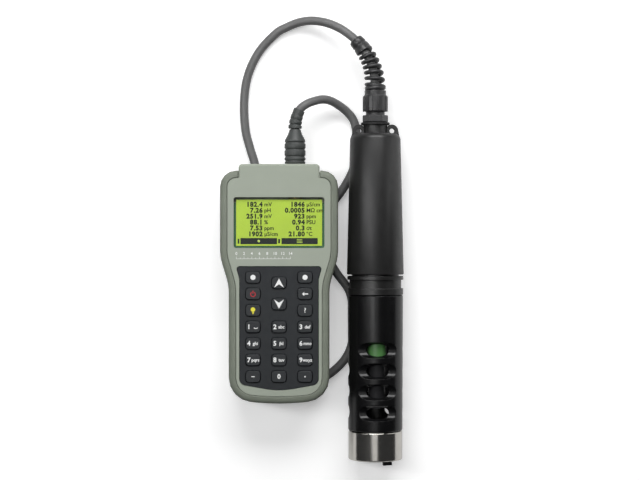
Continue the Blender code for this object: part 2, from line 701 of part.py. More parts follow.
CARRIER_TOP = CARRIER_RING_TOP + CARRIER_SPIGOT
HOUSING_BORE_R = HOUSING_RIM_R - HOUSING_WALL
SPIGOT_R = HOUSING_BORE_R - GAP
STUB_R = SHIELD_BORE_R - GAP
CARRIER_FOOT = CARRIER_FLANGE_FOOT - CARRIER_STUB
WASHER_LOW = NECK_TOP + GAP
HEX_LOW = WASHER_LOW + WASHER_THICK + GAP
HEX_TOP = HEX_LOW + HEX_LENGTH
NUT_LOW = HEX_TOP + GLAND_NECK
NUT_TOP = NUT_LOW + NUT_LENGTH
CABLE_BORE_R = CORD_R + GAP


def make_housing(probe):
    top = HOUSING_SHOULDER + SHOULDER_RISE
    inside_top = HOUSING_SHOULDER - HOUSING_END_WALL + SHOULDER_RISE
    profile = [
        (HOUSING_BORE_R, HOUSING_FOOT), (HOUSING_RIM_R - 0.5 * MM, HOUSING_FOOT),
        (HOUSING_RIM_R, HOUSING_FOOT + 0.6 * MM), (HOUSING_SHOULDER_R, HOUSING_SHOULDER),
        (HOUSING_SHOULDER_R - 0.9 * MM, HOUSING_SHOULDER + 0.6 * SHOULDER_RISE),
        (HOUSING_SHOULDER_R - 3.2 * MM, top), (NECK_R, top + 0.4 * MM), (NECK_R, NECK_TOP),
        (GLAND_THREAD_R, NECK_TOP), (GLAND_THREAD_R, inside_top),
        (HOUSING_SHOULDER_R - HOUSING_WALL - 2 * MM, inside_top - MM),
        (HOUSING_SHOULDER_R - HOUSING_WALL, inside_top - 5 * MM),
        (HOUSING_BORE_R, CARRIER_TOP + 12 * MM),
    ]
    housing = place("probe_housing", turned("probe_housing", profile), HOUSING_PLASTIC,
                    parent=probe)
    foot = HOUSING_SHOULDER + 0.4 * MM
    for side, name in ((-1, "left_ear"), (1, "right_ear")):
        arc = [math.radians(a) for a in range(0, 181, 20)]
        outline = [(EAR_X + EAR_R * math.cos(a), EAR_Y + EAR_R * math.sin(a)) for a in arc]
        outline = [(HOUSING_SHOULDER_R - 0.7 * MM, foot)] + outline + [(EAR_X - EAR_R, foot)]
        rings = [[(side * x, level, y) for x, y in outline]
                 for level in (-EAR_THICK / 2, EAR_THICK / 2)]
        boolean(housing, helper(name, lofted(name, rings), probe), "UNION")
    for side, name in ((-1, "left_hole"), (1, "right_hole")):
        hole = plain_cylinder(name, EAR_HOLE_R, -8 * MM, 8 * MM, 20)
        boolean(housing, helper(name, hole, probe, (side * EAR_X, 0, EAR_Y),
                                (math.pi / 2, 0, 0)))


def ring_place(degrees, radius):
    """A point about the probe's axis; 0 degrees is the upper side, turning towards +X."""
    a = math.radians(degrees + PROBE_ROLL)
    return radius * math.sin(a), -radius * math.cos(a)


def make_carrier(probe):
    seal_y = CARRIER_TOP - SEAL_FROM_TOP
    groove_half, groove_r = SEAL_TUBE_R + GAP, SPIGOT_R - 2 * SEAL_TUBE_R - GAP
    profile = [
        (SPIGOT_R - MM, CARRIER_TOP), (SPIGOT_R, CARRIER_TOP - MM),
        (SPIGOT_R, seal_y + groove_half), (groove_r, seal_y + groove_half),
        (groove_r, seal_y - groove_half), (SPIGOT_R, seal_y - groove_half),
        (SPIGOT_R, CARRIER_RING_TOP), (CARRIER_RING_R, CARRIER_RING_TOP),
        (CARRIER_RING_R, CARRIER_RING_FOOT), (CARRIER_WAIST_R, CARRIER_RING_FOOT),
        (CARRIER_WAIST_R, CARRIER_FLANGE_TOP), (CARRIER_FLANGE_R, CARRIER_FLANGE_TOP),
        (CARRIER_FLANGE_R, CARRIER_FLANGE_FOOT), (STUB_R, CARRIER_FLANGE_FOOT),
        (STUB_R, CARRIER_FOOT + MM), (STUB_R - MM, CARRIER_FOOT),
    ]
    carrier = place("sensor_carrier", turned("sensor_carrier", profile, looped=False),
                    HOUSING_PLASTIC, parent=probe)
    socket_top = CARRIER_FOOT + SENSOR_NECK + GAP
    for name, degrees, _, _ in SENSORS:
        cut = plain_cylinder(name, SENSOR_NECK_R + GAP, CARRIER_FOOT - 5 * MM, socket_top, 24)
        x, y = ring_place(degrees, SENSOR_SPREAD)
        boolean(carrier, helper(name + "_socket", cut, probe, (x, y, 0)))
    pin_bore = plain_cylinder("pin_bore", PIN_R + GAP, CARRIER_FOOT - 5 * MM, socket_top, 16)
    boolean(carrier, helper("pin_bore", pin_bore, probe))
    tube = []
    for i in range(SEAL_SIDES):
        a = 2 * math.pi * i / SEAL_SIDES
        tube.append((groove_r + GAP / 2 + SEAL_TUBE_R + SEAL_TUBE_R * math.cos(a),
                     seal_y + SEAL_TUBE_R * math.sin(a)))
    place("housing_seal", turned("housing_seal", tube), SEAL_RUBBER, parent=probe)


def make_sensors(probe):
    neck_top = CARRIER_FOOT + SENSOR_NECK
    shoulder = CARRIER_FOOT - GAP
    for name, degrees, body, tip in SENSORS:
        foot = shoulder - body
        profile = [
            (SENSOR_NECK_R, neck_top), (SENSOR_NECK_R, shoulder), (SENSOR_R, shoulder),
            (SENSOR_R, foot), (SENSOR_TIP_R, foot), (SENSOR_TIP_R, foot - tip + MM),
            (SENSOR_TIP_R - MM, foot - tip),
        ]
        look = SENSOR_GREEN if name == "sensor_ph" else SENSOR_BLACK
        x, y = ring_place(degrees, SENSOR_SPREAD)
        place(name, turned(name, profile, looped=False, steps=20), look, (x, y, 0), probe)
    pin = turned("temperature_pin", [(PIN_R, neck_top), (PIN_R, shoulder - PIN_LENGTH),
                                     (0.4 * PIN_R, shoulder - PIN_LENGTH - PIN_R)],
                 looped=False, steps=16)
    place("temperature_pin", pin, STEEL, parent=probe)


def make_shield(probe):
    ring_foot = SHIELD_SHOULDER - GAP - RING_LENGTH
    skirt_foot = ring_foot - GAP
    profile = [
        (SHIELD_BORE_R, SHIELD_TOP), (SHIELD_TOP_R - 0.5 * MM, SHIELD_TOP),
        (SHIELD_TOP_R, SHIELD_TOP - 0.6 * MM), (SHIELD_FOOT_R, SHIELD_SHOULDER + 0.4 * MM),
        (SHIELD_FOOT_R - 0.4 * MM, SHIELD_SHOULDER), (SKIRT_R, SHIELD_SHOULDER),
        (SKIRT_R, skirt_foot), (SHIELD_BORE_R, skirt_foot),
    ]
    shield = place("shield", turned("shield", profile, steps=SHIELD_STEPS), SHIELD_PLASTIC,
                   parent=probe)
    for row in range(SLOT_ROWS):
        degrees = 360 / SLOT_ROWS * row
        for i in range(SLOT_COUNT):
            cutter = plain_cylinder("slot_cutter", SLOT_R, -20 * MM, 20 * MM, 16)
            x, y = ring_place(degrees, SLOT_AXIS_R)
            at = (x, y, SLOT_FIRST - i * SLOT_PITCH)
            turn = (0, math.pi / 2, math.radians(degrees + PROBE_ROLL))
            boolean(shield, helper(f"slot_{row + 1}_{i + 1}", cutter, probe, at, turn))
    for number, degrees in enumerate((LUG_ANGLE, LUG_ANGLE + 180)):
        low = skirt_foot - LUG_LENGTH
        lug = box("lug", (-LUG_WIDTH / 2, -SKIRT_R - LUG_DEPTH + MM, low),
                  (LUG_WIDTH / 2, -SHIELD_BORE_R - GAP, skirt_foot + 0.05 * MM))
        guide = helper(f"lug_{number + 1}", lug, probe)
        guide.rotation_euler = (0, 0, math.radians(degrees))
        boolean(shield, guide, "UNION")
    low, high = ring_foot, SHIELD_SHOULDER - GAP
    ring = [
        (SKIRT_R + GAP, high), (RING_R - RING_CHAMFER, high), (RING_R, high - RING_CHAMFER),
        (RING_R, low + RING_CHAMFER), (RING_R - RING_CHAMFER, low), (SKIRT_R + GAP, low),
    ]
    place("weight_ring", turned("weight_ring", ring, steps=SHIELD_STEPS), STEEL, parent=probe)


def make_gland(probe):
    washer = [(GLAND_THREAD_R, WASHER_LOW), (WASHER_R, WASHER_LOW),
              (WASHER_R, WASHER_LOW + WASHER_THICK), (GLAND_THREAD_R, WASHER_LOW + WASHER_THICK)]
    place("gland_washer", turned("gland_washer", washer), SEAL_RUBBER, parent=probe)

    thread_r = GLAND_THREAD_R - GAP
    body_top = NUT_LOW + 0.45 * NUT_LENGTH
    body = turned("gland_body", [
        (CABLE_BORE_R, NECK_TOP - 8 * MM), (thread_r, NECK_TOP - 8 * MM), (thread_r, HEX_LOW),
        (GLAND_NECK_R, HEX_LOW), (GLAND_NECK_R, HEX_TOP),
        (GLAND_NECK_R, NUT_LOW - GAP), (thread_r, NUT_LOW), (thread_r, body_top),
        (CABLE_BORE_R, body_top),
    ], steps=36)
    gland = place("gland_body", body, GLAND_NYLON, parent=probe)
    rings = []
    for inset, height in ((0.5 * MM, HEX_LOW), (0, HEX_LOW + 0.4 * MM),
                          (0, HEX_TOP - 0.4 * MM), (0.5 * MM, HEX_TOP)):
        corners = [math.radians(60 * i) for i in range(6)]
        rings.append([((HEX_R - inset) * math.cos(a), (HEX_R - inset) * math.sin(a), height)
                      for a in corners])
    hexagon = helper("gland_hex", lofted("gland_hex", rings), probe)
    boolean(gland, hexagon, "UNION")
    boolean(gland, helper("gland_bore", plain_cylinder(
        "gland_bore", CABLE_BORE_R, HEX_LOW - 2 * MM, HEX_TOP + 2 * MM, 36), probe))

    nut_bore = thread_r + GAP
    nut = place("gland_nut", turned("gland_nut", [
        (nut_bore, NUT_LOW), (NUT_SKIRT_R, NUT_LOW), (NUT_SKIRT_R, NUT_LOW + NUT_SKIRT),
        (NUT_TOP_R, NUT_LOW + NUT_SKIRT + 0.8 * MM), (NUT_TOP_R, NUT_TOP),
        (CABLE_BORE_R, NUT_TOP), (CABLE_BORE_R, NUT_TOP - NUT_WALL),
        (nut_bore, NUT_TOP - NUT_WALL),
    ]), GLAND_NYLON, parent=probe)
    for i in range(NUT_RIBS):
        rib = box("nut_rib", (NUT_SKIRT_R - MM, -1.5 * MM, NUT_LOW),
                  (NUT_SKIRT_R + NUT_RIB, 1.5 * MM, NUT_LOW + NUT_SKIRT - 0.5 * MM))
        guide = helper(f"nut_rib_{i + 1}", rib, probe)
        guide.rotation_euler = (0, 0, 2 * math.pi * (i + 0.5) / NUT_RIBS)
        boolean(nut, guide, "UNION")
    seal_low, seal_top = body_top + GAP, NUT_TOP - NUT_WALL - GAP
    seal = [(CABLE_BORE_R, seal_low), (thread_r, seal_low), (thread_r, seal_top),
            (CABLE_BORE_R, seal_top)]
    place("gland_seal", turned("gland_seal", seal, steps=36), SEAL_RUBBER, parent=probe)


# --- the cable's line and the spiral relief ------------------------------------------------

RELIEF_ROUTE = (            # from inside the housing to the relief's collar
    Vector((PROBE_X, 0.0850, PROBE_Z)),
    Vector((PROBE_X, 0.1050, PROBE_Z)),
    Vector((PROBE_X, 0.1250, PROBE_Z)),
    Vector((PROBE_X - 0.0003, 0.1313, PROBE_Z - 0.0001)),
    Vector((PROBE_X - 0.0010, 0.1375, PROBE_Z - 0.0003)),
    Vector((PROBE_X - 0.0023, 0.1430, PROBE_Z - 0.0007)),
    Vector((PROBE_X - 0.0042, 0.1483, PROBE_Z - 0.0011)),
    Vector((PROBE_X - 0.0067, 0.1531, PROBE_Z - 0.0016)),
    Vector((PROBE_X - 0.0108, 0.1593, PROBE_Z - 0.0024)),
    Vector((PROBE_X - 0.0157, 0.1652, PROBE_Z - 0.0034)),
)
FREE_ROUTE = (              # down to the surface, under the meter, by the probe and round
    Vector((0.0285, 0.1699, 0.0174)),
    Vector((0.0214, 0.1749, 0.0149)),
    Vector((0.0110, 0.1796, 0.0114)),
    Vector((-0.0004, 0.1817, 0.0081)),
    Vector((-0.0110, 0.1806, 0.0056)),
    Vector((-0.0216, 0.1765, 0.0040)),
    Vector((-0.0296, 0.1717, 0.0035)),
    Vector((-0.0428, 0.1573, CORD_R)),
    Vector((-0.0516, 0.1385, CORD_R)),
    Vector((-0.0546, 0.1180, CORD_R)),
    Vector((-0.0537, 0.0960, CORD_R)),
    Vector((-0.0500, 0.0806, CORD_R)),
    Vector((-0.0455, 0.0650, CORD_R)),
    Vector((-0.0408, 0.0350, CORD_R)),
    Vector((-0.0395, 0.0000, CORD_R)),
    Vector((-0.0410, -0.0350, CORD_R)),
    Vector((-0.0408, -0.0700, CORD_R)),
    Vector((-0.0335, -0.0960, CORD_R)),
    Vector((-0.0140, -0.1075, CORD_R)),
    Vector((0.0070, -0.1035, CORD_R)),
    Vector((0.0219, -0.0927, CORD_R)),
    Vector((0.0300, -0.0800, CORD_R)),
    Vector((0.0322, -0.0660, CORD_R)),
    Vector((0.0322, -0.0500, CORD_R)),
    Vector((0.0293, -0.0336, CORD_R)),
    Vector((0.0187, -0.0184, CORD_R)),
    Vector((0.0105, -0.0030, CORD_R)),
    Vector((0.0085, 0.0140, CORD_R)),
    Vector((0.0125, 0.0310, CORD_R)),
    Vector((0.0240, 0.0475, CORD_R)),
    Vector((0.0325, 0.0640, CORD_R)),
    Vector((0.0350, 0.0820, CORD_R)),
    Vector((0.0339, 0.0994, CORD_R)),
    Vector((0.0275, 0.1093, 0.0050)),
    Vector((0.0163, 0.1168, 0.0110)),
    Vector((0.0083, 0.1184, 0.0160)),
    Vector((0.0004, 0.1164, 0.0210)),
    Vector((-0.0055, 0.1136, 0.0238)),
)
PLUG_LINE_X = METER_X + PLUG_X
PLUG_LINE_Z = METER_LIFT + SOCKET_Z
PLUG_ROUTE = (              # through the plug's relief
    Vector((PLUG_LINE_X + 0.0036, 0.1096, PLUG_LINE_Z)),
    Vector((PLUG_LINE_X + 0.0016, 0.1046, PLUG_LINE_Z)),
    Vector((PLUG_LINE_X + 0.0004, 0.0996, PLUG_LINE_Z)),
    Vector((PLUG_LINE_X, 0.0946, PLUG_LINE_Z)),
)
CORD_ROUTE = RELIEF_ROUTE + FREE_ROUTE + PLUG_ROUTE


def smooth_line(points, share):
    """A point on the smooth curve through the given points; share runs 0 to 1 over them."""
    last = len(points) - 1
    i = min(int(share * last), last - 1)
    t = share * last - i
    before = points[i - 1] if i else 2 * points[0] - points[1]
    after = points[i + 2] if i + 2 <= last else 2 * points[last] - points[last - 1]
    start, end = points[i], points[i + 1]
    return 0.5 * (2 * start + (end - before) * t
                  + (2 * before - 5 * start + 4 * end - after) * t ** 2
                  + (3 * start - before - 3 * end + after) * t ** 3)


def cord_line():
    """Points along the cable: close together in its two reliefs, further apart between."""
    last = len(CORD_ROUTE) - 1
    parts = 4000
    fine = [smooth_line(CORD_ROUTE, i / parts) for i in range(parts + 1)]
    line, walked = [fine[0]], 0.0
    for i in range(1, parts + 1):
        walked += (fine[i] - fine[i - 1]).length
        at = i / parts * last
        in_relief = at < len(RELIEF_ROUTE) or at > last - len(PLUG_ROUTE)
        if walked >= (RELIEF_STEP if in_relief else CORD_STEP):
            line.append(fine[i])
            walked = 0.0
    if walked < RELIEF_STEP / 2:
        line.pop()
    return line + [fine[-1]]


def make_cord():
    line = cord_line()
    curve = bpy.data.curves.new("cord", "CURVE")
    curve.dimensions = "3D"
    curve.bevel_depth = CORD_R
    curve.bevel_resolution = 2
    curve.use_fill_caps = True
    spline = curve.splines.new("POLY")
    spline.points.add(len(line) - 1)
    for point, place_ in zip(spline.points, line):
        point.co = (*place_, 1.0)
    cord = bpy.data.objects.new("cord", curve)
    bpy.context.scene.collection.objects.link(cord)
    curve.materials.append(material("cord", CORD_RUBBER))


def frames_along(points, count):
    """Places and cross directions at even shares of a line."""
    frames = []
    for i in range(count):
        share = i / (count - 1)
        at = smooth_line(points, share)
        ahead = smooth_line(points, min(share + 0.01, 1.0)) - smooth_line(
            points, max(share - 0.01, 0.0))
        ahead.normalize()
        across = ahead.cross(Vector((0, 0, 1))).normalized()
        frames.append((at, ahead, across, across.cross(ahead)))
    return frames


def make_spiral_relief():
    """Base ring, open coil and end collar about the cable, as one piece."""
    bend = RELIEF_ROUTE[2:]
    count = round(SPIRAL_TURNS * SPIRAL_TURN_STEPS) + 1
    frames = frames_along(bend, 101)
    rings = []
    for i in range(count):
        share = i / (count - 1)
        exact = COIL_START + (COIL_END - COIL_START) * share
        at = smooth_line(bend, exact)
        _, ahead, across, upward = frames[round(exact * 100)]
        radius = SPIRAL_BASE_R + (SPIRAL_END_R - SPIRAL_BASE_R) * share
        turn = 2 * math.pi * SPIRAL_TURNS * share
        spoke = across * math.cos(turn) + upward * math.sin(turn)
        middle = at + spoke * radius
        ring = []
        for k in range(SPIRAL_SIDES):
            a = 2 * math.pi * k / SPIRAL_SIDES
            ring.append(middle + spoke * SPIRAL_WIRE_R * math.cos(a)
                        + ahead * SPIRAL_WIRE_R * math.sin(a))
        rings.append(ring)
    relief = place("spiral_relief", lofted("spiral_relief", rings), GLAND_NYLON)

    def sleeve(name, low, high, low_r, high_r, bore):
        rings = []
        shares = [low + (high - low) * i / 4 for i in range(5)]
        walls = [(share, low_r + (high_r - low_r) * i / 4) for i, share in enumerate(shares)]
        for share, radius in walls + [(share, bore) for share in reversed(shares)]:
            at, _, across, upward = frames[round(share * 100)]
            rings.append([at + across * radius * math.cos(a) + upward * radius * math.sin(a)
                          for a in (2 * math.pi * k / 20 for k in range(20))])
        return helper(name, lofted(name, rings, looped=True))

    boolean(relief, sleeve("relief_collar", COLLAR_START, COLLAR_END, COLLAR_BASE_R,
                           COLLAR_TIP_R, SPIRAL_RING_BORE), "UNION")
    boolean(relief, sleeve("relief_foot", FOOT_START, FOOT_END, RELIEF_FOOT_R, RELIEF_FOOT_R,
                           SPIRAL_RING_BORE), "UNION")


def make_probe_board(probe):
    low = CARRIER_TOP + GAP
    board = box("probe_board", (-PROBE_BOARD_WIDTH / 2, -BOARD_THICK / 2, low),
                (PROBE_BOARD_WIDTH / 2, BOARD_THICK / 2, low + PROBE_BOARD_LENGTH))
    place("probe_board", board, BOARD_GREEN, parent=probe, smooth=False)


def main():
    clear_scene()
    meter = bpy.data.objects.new("meter_frame", None)
    bpy.context.scene.collection.objects.link(meter)
    meter.location = (METER_X, METER_Y, METER_LIFT)
    probe = bpy.data.objects.new("probe_axis", None)
    bpy.context.scene.collection.objects.link(probe)
    probe.location = (PROBE_X, 0, PROBE_Z)
    probe.rotation_euler = (-math.pi / 2, 0, 0)
    make_boot(meter)
    make_front_case(meter)
    make_rear_case(meter)
    make_case_seal(meter)
    make_display(meter)
    make_keypad(meter)
    make_board(meter)
    make_batteries(meter)
    make_plug(meter)
    make_housing(probe)
    make_carrier(probe)
    make_probe_board(probe)
    make_sensors(probe)
    make_shield(probe)
    make_gland(probe)
    make_spiral_relief()
    make_cord()


main()
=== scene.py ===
"""Looks of the handheld water quality meter and its probe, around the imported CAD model."""

import json
import math

import bmesh
import bpy
from mathutils import Matrix, Vector

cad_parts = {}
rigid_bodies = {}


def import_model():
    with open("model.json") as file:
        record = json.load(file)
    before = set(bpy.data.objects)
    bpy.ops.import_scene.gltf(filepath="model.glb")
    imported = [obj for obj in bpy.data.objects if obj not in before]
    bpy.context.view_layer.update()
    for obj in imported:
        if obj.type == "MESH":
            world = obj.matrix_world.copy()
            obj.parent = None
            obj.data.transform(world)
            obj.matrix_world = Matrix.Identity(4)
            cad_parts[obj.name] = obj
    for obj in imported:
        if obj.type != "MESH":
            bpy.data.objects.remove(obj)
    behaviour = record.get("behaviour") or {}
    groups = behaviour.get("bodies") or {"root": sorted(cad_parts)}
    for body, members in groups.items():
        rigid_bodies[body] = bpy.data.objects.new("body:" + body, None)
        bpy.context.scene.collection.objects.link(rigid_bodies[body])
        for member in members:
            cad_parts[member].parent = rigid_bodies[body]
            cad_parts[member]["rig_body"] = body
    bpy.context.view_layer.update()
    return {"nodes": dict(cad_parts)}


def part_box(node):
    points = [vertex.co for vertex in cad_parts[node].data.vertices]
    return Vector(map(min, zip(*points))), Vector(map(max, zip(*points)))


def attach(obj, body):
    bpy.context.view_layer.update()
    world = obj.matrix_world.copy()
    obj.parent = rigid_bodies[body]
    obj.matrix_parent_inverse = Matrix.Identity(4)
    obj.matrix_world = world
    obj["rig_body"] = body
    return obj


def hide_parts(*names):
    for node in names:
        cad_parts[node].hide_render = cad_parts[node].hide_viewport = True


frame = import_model()

MM = 0.001
BODY = "instrument"

# --- camera, light and floor ---------------------------------------------------------------
CAMERA_AT = (5.93 * MM, 7.12 * MM, 1.4)
CAMERA_LENS = 98.35
FLOOR_SIZE = 6.0
FLOOR_WHITE = 0.93
FLOOR_BOUNCE = 0.45         # its colour as seen by light that bounces
FLOOR_LIFT = 0.34           # extra brightness that only the camera sees

# --- cable -----------------------------------------------------------------------------------
CORD_R = 3.4 * MM
PROBE_X = 49.5 * MM
PROBE_Z = 22.4 * MM
RELIEF_ROUTE = (            # from inside the housing to the relief's collar
    (0.0495, 0.0850, PROBE_Z),
    (0.0495, 0.1050, PROBE_Z),
    (0.0495, 0.1250, PROBE_Z),
    (0.0492, 0.1313, PROBE_Z - 0.0001),
    (0.0485, 0.1375, PROBE_Z - 0.0003),
    (0.0472, 0.1430, PROBE_Z - 0.0007),
    (0.0453, 0.1483, PROBE_Z - 0.0011),
    (0.0428, 0.1531, PROBE_Z - 0.0016),
    (0.0387, 0.1593, PROBE_Z - 0.0024),
    (0.0338, 0.1652, PROBE_Z - 0.0034),
)
FREE_ROUTE = (              # down to the surface, under the meter, by the probe and round
    (0.0285, 0.1699, 0.0174),
    (0.0214, 0.1749, 0.0149),
    (0.0110, 0.1796, 0.0114),
    (-0.0004, 0.1817, 0.0081),
    (-0.0110, 0.1806, 0.0056),
    (-0.0216, 0.1765, 0.0040),
    (-0.0296, 0.1717, 0.0035),
    (-0.0428, 0.1573, CORD_R),
    (-0.0516, 0.1385, CORD_R),
    (-0.0546, 0.1180, CORD_R),
    (-0.0537, 0.0960, CORD_R),
    (-0.0500, 0.0806, CORD_R),
    (-0.0455, 0.0650, CORD_R),
    (-0.0408, 0.0350, CORD_R),
    (-0.0395, 0.0000, CORD_R),
    (-0.0410, -0.0350, CORD_R),
    (-0.0408, -0.0700, CORD_R),
    (-0.0335, -0.0960, CORD_R),
    (-0.0140, -0.1075, CORD_R),
    (0.0070, -0.1035, CORD_R),
    (0.0219, -0.0927, CORD_R),
    (0.0300, -0.0800, CORD_R),
    (0.0322, -0.0660, CORD_R),
    (0.0322, -0.0500, CORD_R),
    (0.0293, -0.0336, CORD_R),
    (0.0187, -0.0184, CORD_R),
    (0.0105, -0.0030, CORD_R),
    (0.0085, 0.0140, CORD_R),
    (0.0125, 0.0310, CORD_R),
    (0.0240, 0.0475, CORD_R),
    (0.0325, 0.0640, CORD_R),
    (0.0350, 0.0820, CORD_R),
    (0.0339, 0.0994, CORD_R),
    (0.0275, 0.1093, 0.0050),
    (0.0163, 0.1168, 0.0110),
    (0.0083, 0.1184, 0.0160),
    (0.0004, 0.1164, 0.0210),
    (-0.0055, 0.1136, 0.0238),
)
PLUG_ROUTE = (              # through the plug's relief
    (-0.0101, 0.1096, 0.0247),
    (-0.0121, 0.1046, 0.0247),
    (-0.0133, 0.0996, 0.0247),
    (-0.0137, 0.0946, 0.0247),
)
CORD_ROUTE = [Vector(point) for point in RELIEF_ROUTE + FREE_ROUTE + PLUG_ROUTE]
CORD_POINTS = 420

# --- shield ----------------------------------------------------------------------------------
GAP = 0.3 * MM
PROBE_ROLL = 4.5
SHIELD_TOP_R = 21.8 * MM
SHIELD_FOOT_R = 21.4 * MM
SHIELD_BORE_R = 18.0 * MM
SLOT_R = 6.25 * MM
SLOT_AXIS_R = 22.0 * MM
SLOT_FROM_TOP = 42.5 * MM
SLOT_PITCH = 16.3 * MM
LUG_ANGLE = 27
LUG_WIDTH = 7.5 * MM
LUG_TOP_R = 20.2 * MM
SKIRT_R = 19.0 * MM         # inside the steel ring
TUBE_SIDES = 144
SLOT_ROWS = 3
SLOTS_IN_ROW = 4
SLOT_SIDES = 56
CUTTER_REACH = 20 * MM

# --- spiral relief ---------------------------------------------------------------------------
SPIRAL_TURNS = 6.2
SPIRAL_WIRE_R = 1.55 * MM
SPIRAL_BASE_R = 6.9 * MM
SPIRAL_END_R = 5.3 * MM
SPIRAL_START, SPIRAL_STOP = 0.055, 0.80
COLLAR_BASE_R = 6.6 * MM
COLLAR_TIP_R = 5.6 * MM
RELIEF_FOOT_R = 8.2 * MM
STEPS_A_TURN = 28
WIRE_SIDES = 12
SLEEVE_SIDES = 40
BORE_GAP = 0.25 * MM        # between the cable and the relief's sleeves

# --- print -----------------------------------------------------------------------------------
INK_HEIGHT = 0.06 * MM
LINE_PITCH = 4.6 * MM       # between the display's rows
VALUE_SIZE = 5.0 * MM
UNIT_SIZE = 4.3 * MM


# --- materials -------------------------------------------------------------------------------

def srgb(red, green, blue):
    """A linear colour from display values of 0 to 255."""
    def linear(value):
        share = value / 255
        return share / 12.92 if share <= 0.04045 else ((share + 0.055) / 1.055) ** 2.4
    return linear(red), linear(green), linear(blue)


def link(tree, source, output, target, entry):
    tree.links.new(source.outputs[output], target.inputs[entry])


def noise(tree, coordinates, size, detail=3.0):
    """Noise whose features are about size metres across."""
    node = tree.nodes.new("ShaderNodeTexNoise")
    node.inputs["Scale"].default_value = 1.0 / size
    node.inputs["Detail"].default_value = detail
    link(tree, coordinates, "Object", node, "Vector")
    return node


def spread(tree, source, output, low, high):
    """A Map Range node from the middle of a 0..1 signal to low..high."""
    node = tree.nodes.new("ShaderNodeMapRange")
    node.inputs["From Min"].default_value = 0.3
    node.inputs["From Max"].default_value = 0.7
    node.inputs["To Min"].default_value = low
    node.inputs["To Max"].default_value = high
    link(tree, source, output, node, "Value")
    return node


def tinted(tree, shader, color, signal, amount):
    """Base colour that wanders between a darker and a lighter tone of color."""
    mix = tree.nodes.new("ShaderNodeMix")
    mix.data_type = "RGBA"
    mix.inputs["A"].default_value = (*(channel * (1 - amount) for channel in color), 1)
    mix.inputs["B"].default_value = (*(min(channel * (1 + amount), 1) for channel in color), 1)
    link(tree, signal, "Result", mix, "Factor")
    link(tree, mix, "Result", shader, "Base Color")
    return mix


def surface(name, color, roughness, metallic=0.0, grain=0.35 * MM, bump=0.15,
            mottle=9 * MM, variation=0.08, coat=0.0, specular=0.5, stretch=None, soften=0.0):
    """A moulded, cast or turned finish: fine grain, slow colour and gloss changes."""
    made = bpy.data.materials.new(name)
    made.use_nodes = True
    tree = made.node_tree
    shader = tree.nodes["Principled BSDF"]
    shader.inputs["Metallic"].default_value = metallic
    shader.inputs["Specular IOR Level"].default_value = specular
    shader.inputs["Coat Weight"].default_value = coat
    shader.inputs["Coat Roughness"].default_value = 0.15
    coordinates = tree.nodes.new("ShaderNodeTexCoord")
    slow = noise(tree, coordinates, mottle, 4.0)
    tinted(tree, shader, color, spread(tree, slow, "Fac", 0.0, 1.0), variation)
    patchy = noise(tree, coordinates, mottle * 0.4, 5.0)
    gloss = spread(tree, patchy, "Fac", roughness * 0.88, min(roughness * 1.14, 1.0))
    link(tree, gloss, "Result", shader, "Roughness")
    fine = noise(tree, coordinates, grain, 2.0)
    if stretch:
        mapping = tree.nodes.new("ShaderNodeMapping")
        mapping.inputs["Scale"].default_value = stretch
        link(tree, coordinates, "Object", mapping, "Vector")
        link(tree, mapping, "Vector", fine, "Vector")
    relief = tree.nodes.new("ShaderNodeBump")
    relief.inputs["Strength"].default_value = bump
    relief.inputs["Distance"].default_value = 0.1 * MM
    link(tree, fine, "Fac", relief, "Height")
    if soften:
        rounded = tree.nodes.new("ShaderNodeBevel")
        rounded.samples = 6
        rounded.inputs["Radius"].default_value = soften
        link(tree, rounded, "Normal", relief, "Normal")
    link(tree, relief, "Normal", shader, "Normal")
    return made


def print_ink(name, color, specular=0.4):
    return surface(name, color, 0.5, grain=0.15 * MM, bump=0.05, mottle=2 * MM,
                   variation=0.03, specular=specular)


BOOT = surface("boot_rubber", srgb(121, 127, 115), 0.62, grain=0.30 * MM, bump=0.22,
               mottle=14 * MM, variation=0.05, specular=0.35, soften=0.5 * MM)
CASE = surface("case_plastic", srgb(156, 163, 150), 0.52, grain=0.22 * MM, bump=0.14,
               mottle=20 * MM, variation=0.035, specular=0.35, soften=0.35 * MM)
PANEL = surface("keypad_film", srgb(35, 38, 41), 0.50, grain=0.25 * MM, bump=0.10,
                mottle=12 * MM, variation=0.06, specular=0.3, soften=0.25 * MM)
KEY = surface("key_rubber", srgb(36, 39, 42), 0.50, grain=0.25 * MM, bump=0.16,
              mottle=5 * MM, variation=0.06, specular=0.4, soften=0.4 * MM)
CORD = surface("cable_rubber", srgb(100, 100, 100), 0.46, grain=0.30 * MM, bump=0.10,
               mottle=10 * MM, variation=0.06)
PLUG = surface("plug_rubber", srgb(66, 69, 68), 0.50, grain=0.30 * MM, bump=0.14,
               mottle=6 * MM, variation=0.07, soften=0.3 * MM)
GLAND = surface("gland_nylon", srgb(48, 48, 49), 0.36, grain=0.28 * MM, bump=0.12,
                mottle=5 * MM, variation=0.08, soften=0.3 * MM)
HOUSING = surface("housing_plastic", srgb(27, 27, 27), 0.40, grain=0.26 * MM, bump=0.10,
                  mottle=14 * MM, variation=0.06, soften=0.4 * MM)
CARRIER = surface("carrier_plastic", srgb(24, 24, 24), 0.34, grain=0.3 * MM, bump=0.08,
                  mottle=8 * MM, variation=0.06, soften=0.35 * MM)
SHIELD = surface("shield_plastic", srgb(13, 13, 14), 0.24, grain=0.8 * MM, bump=0.03,
                 mottle=12 * MM, variation=0.08, specular=0.38, soften=0.5 * MM)
SEAL = surface("seal_rubber", srgb(22, 22, 23), 0.7, variation=0.05)
STEEL = surface("ring_steel", srgb(205, 202, 196), 0.16, metallic=1.0, grain=0.12 * MM,
                bump=0.03, mottle=5 * MM, variation=0.04, stretch=(12, 1, 12),
                soften=0.3 * MM)
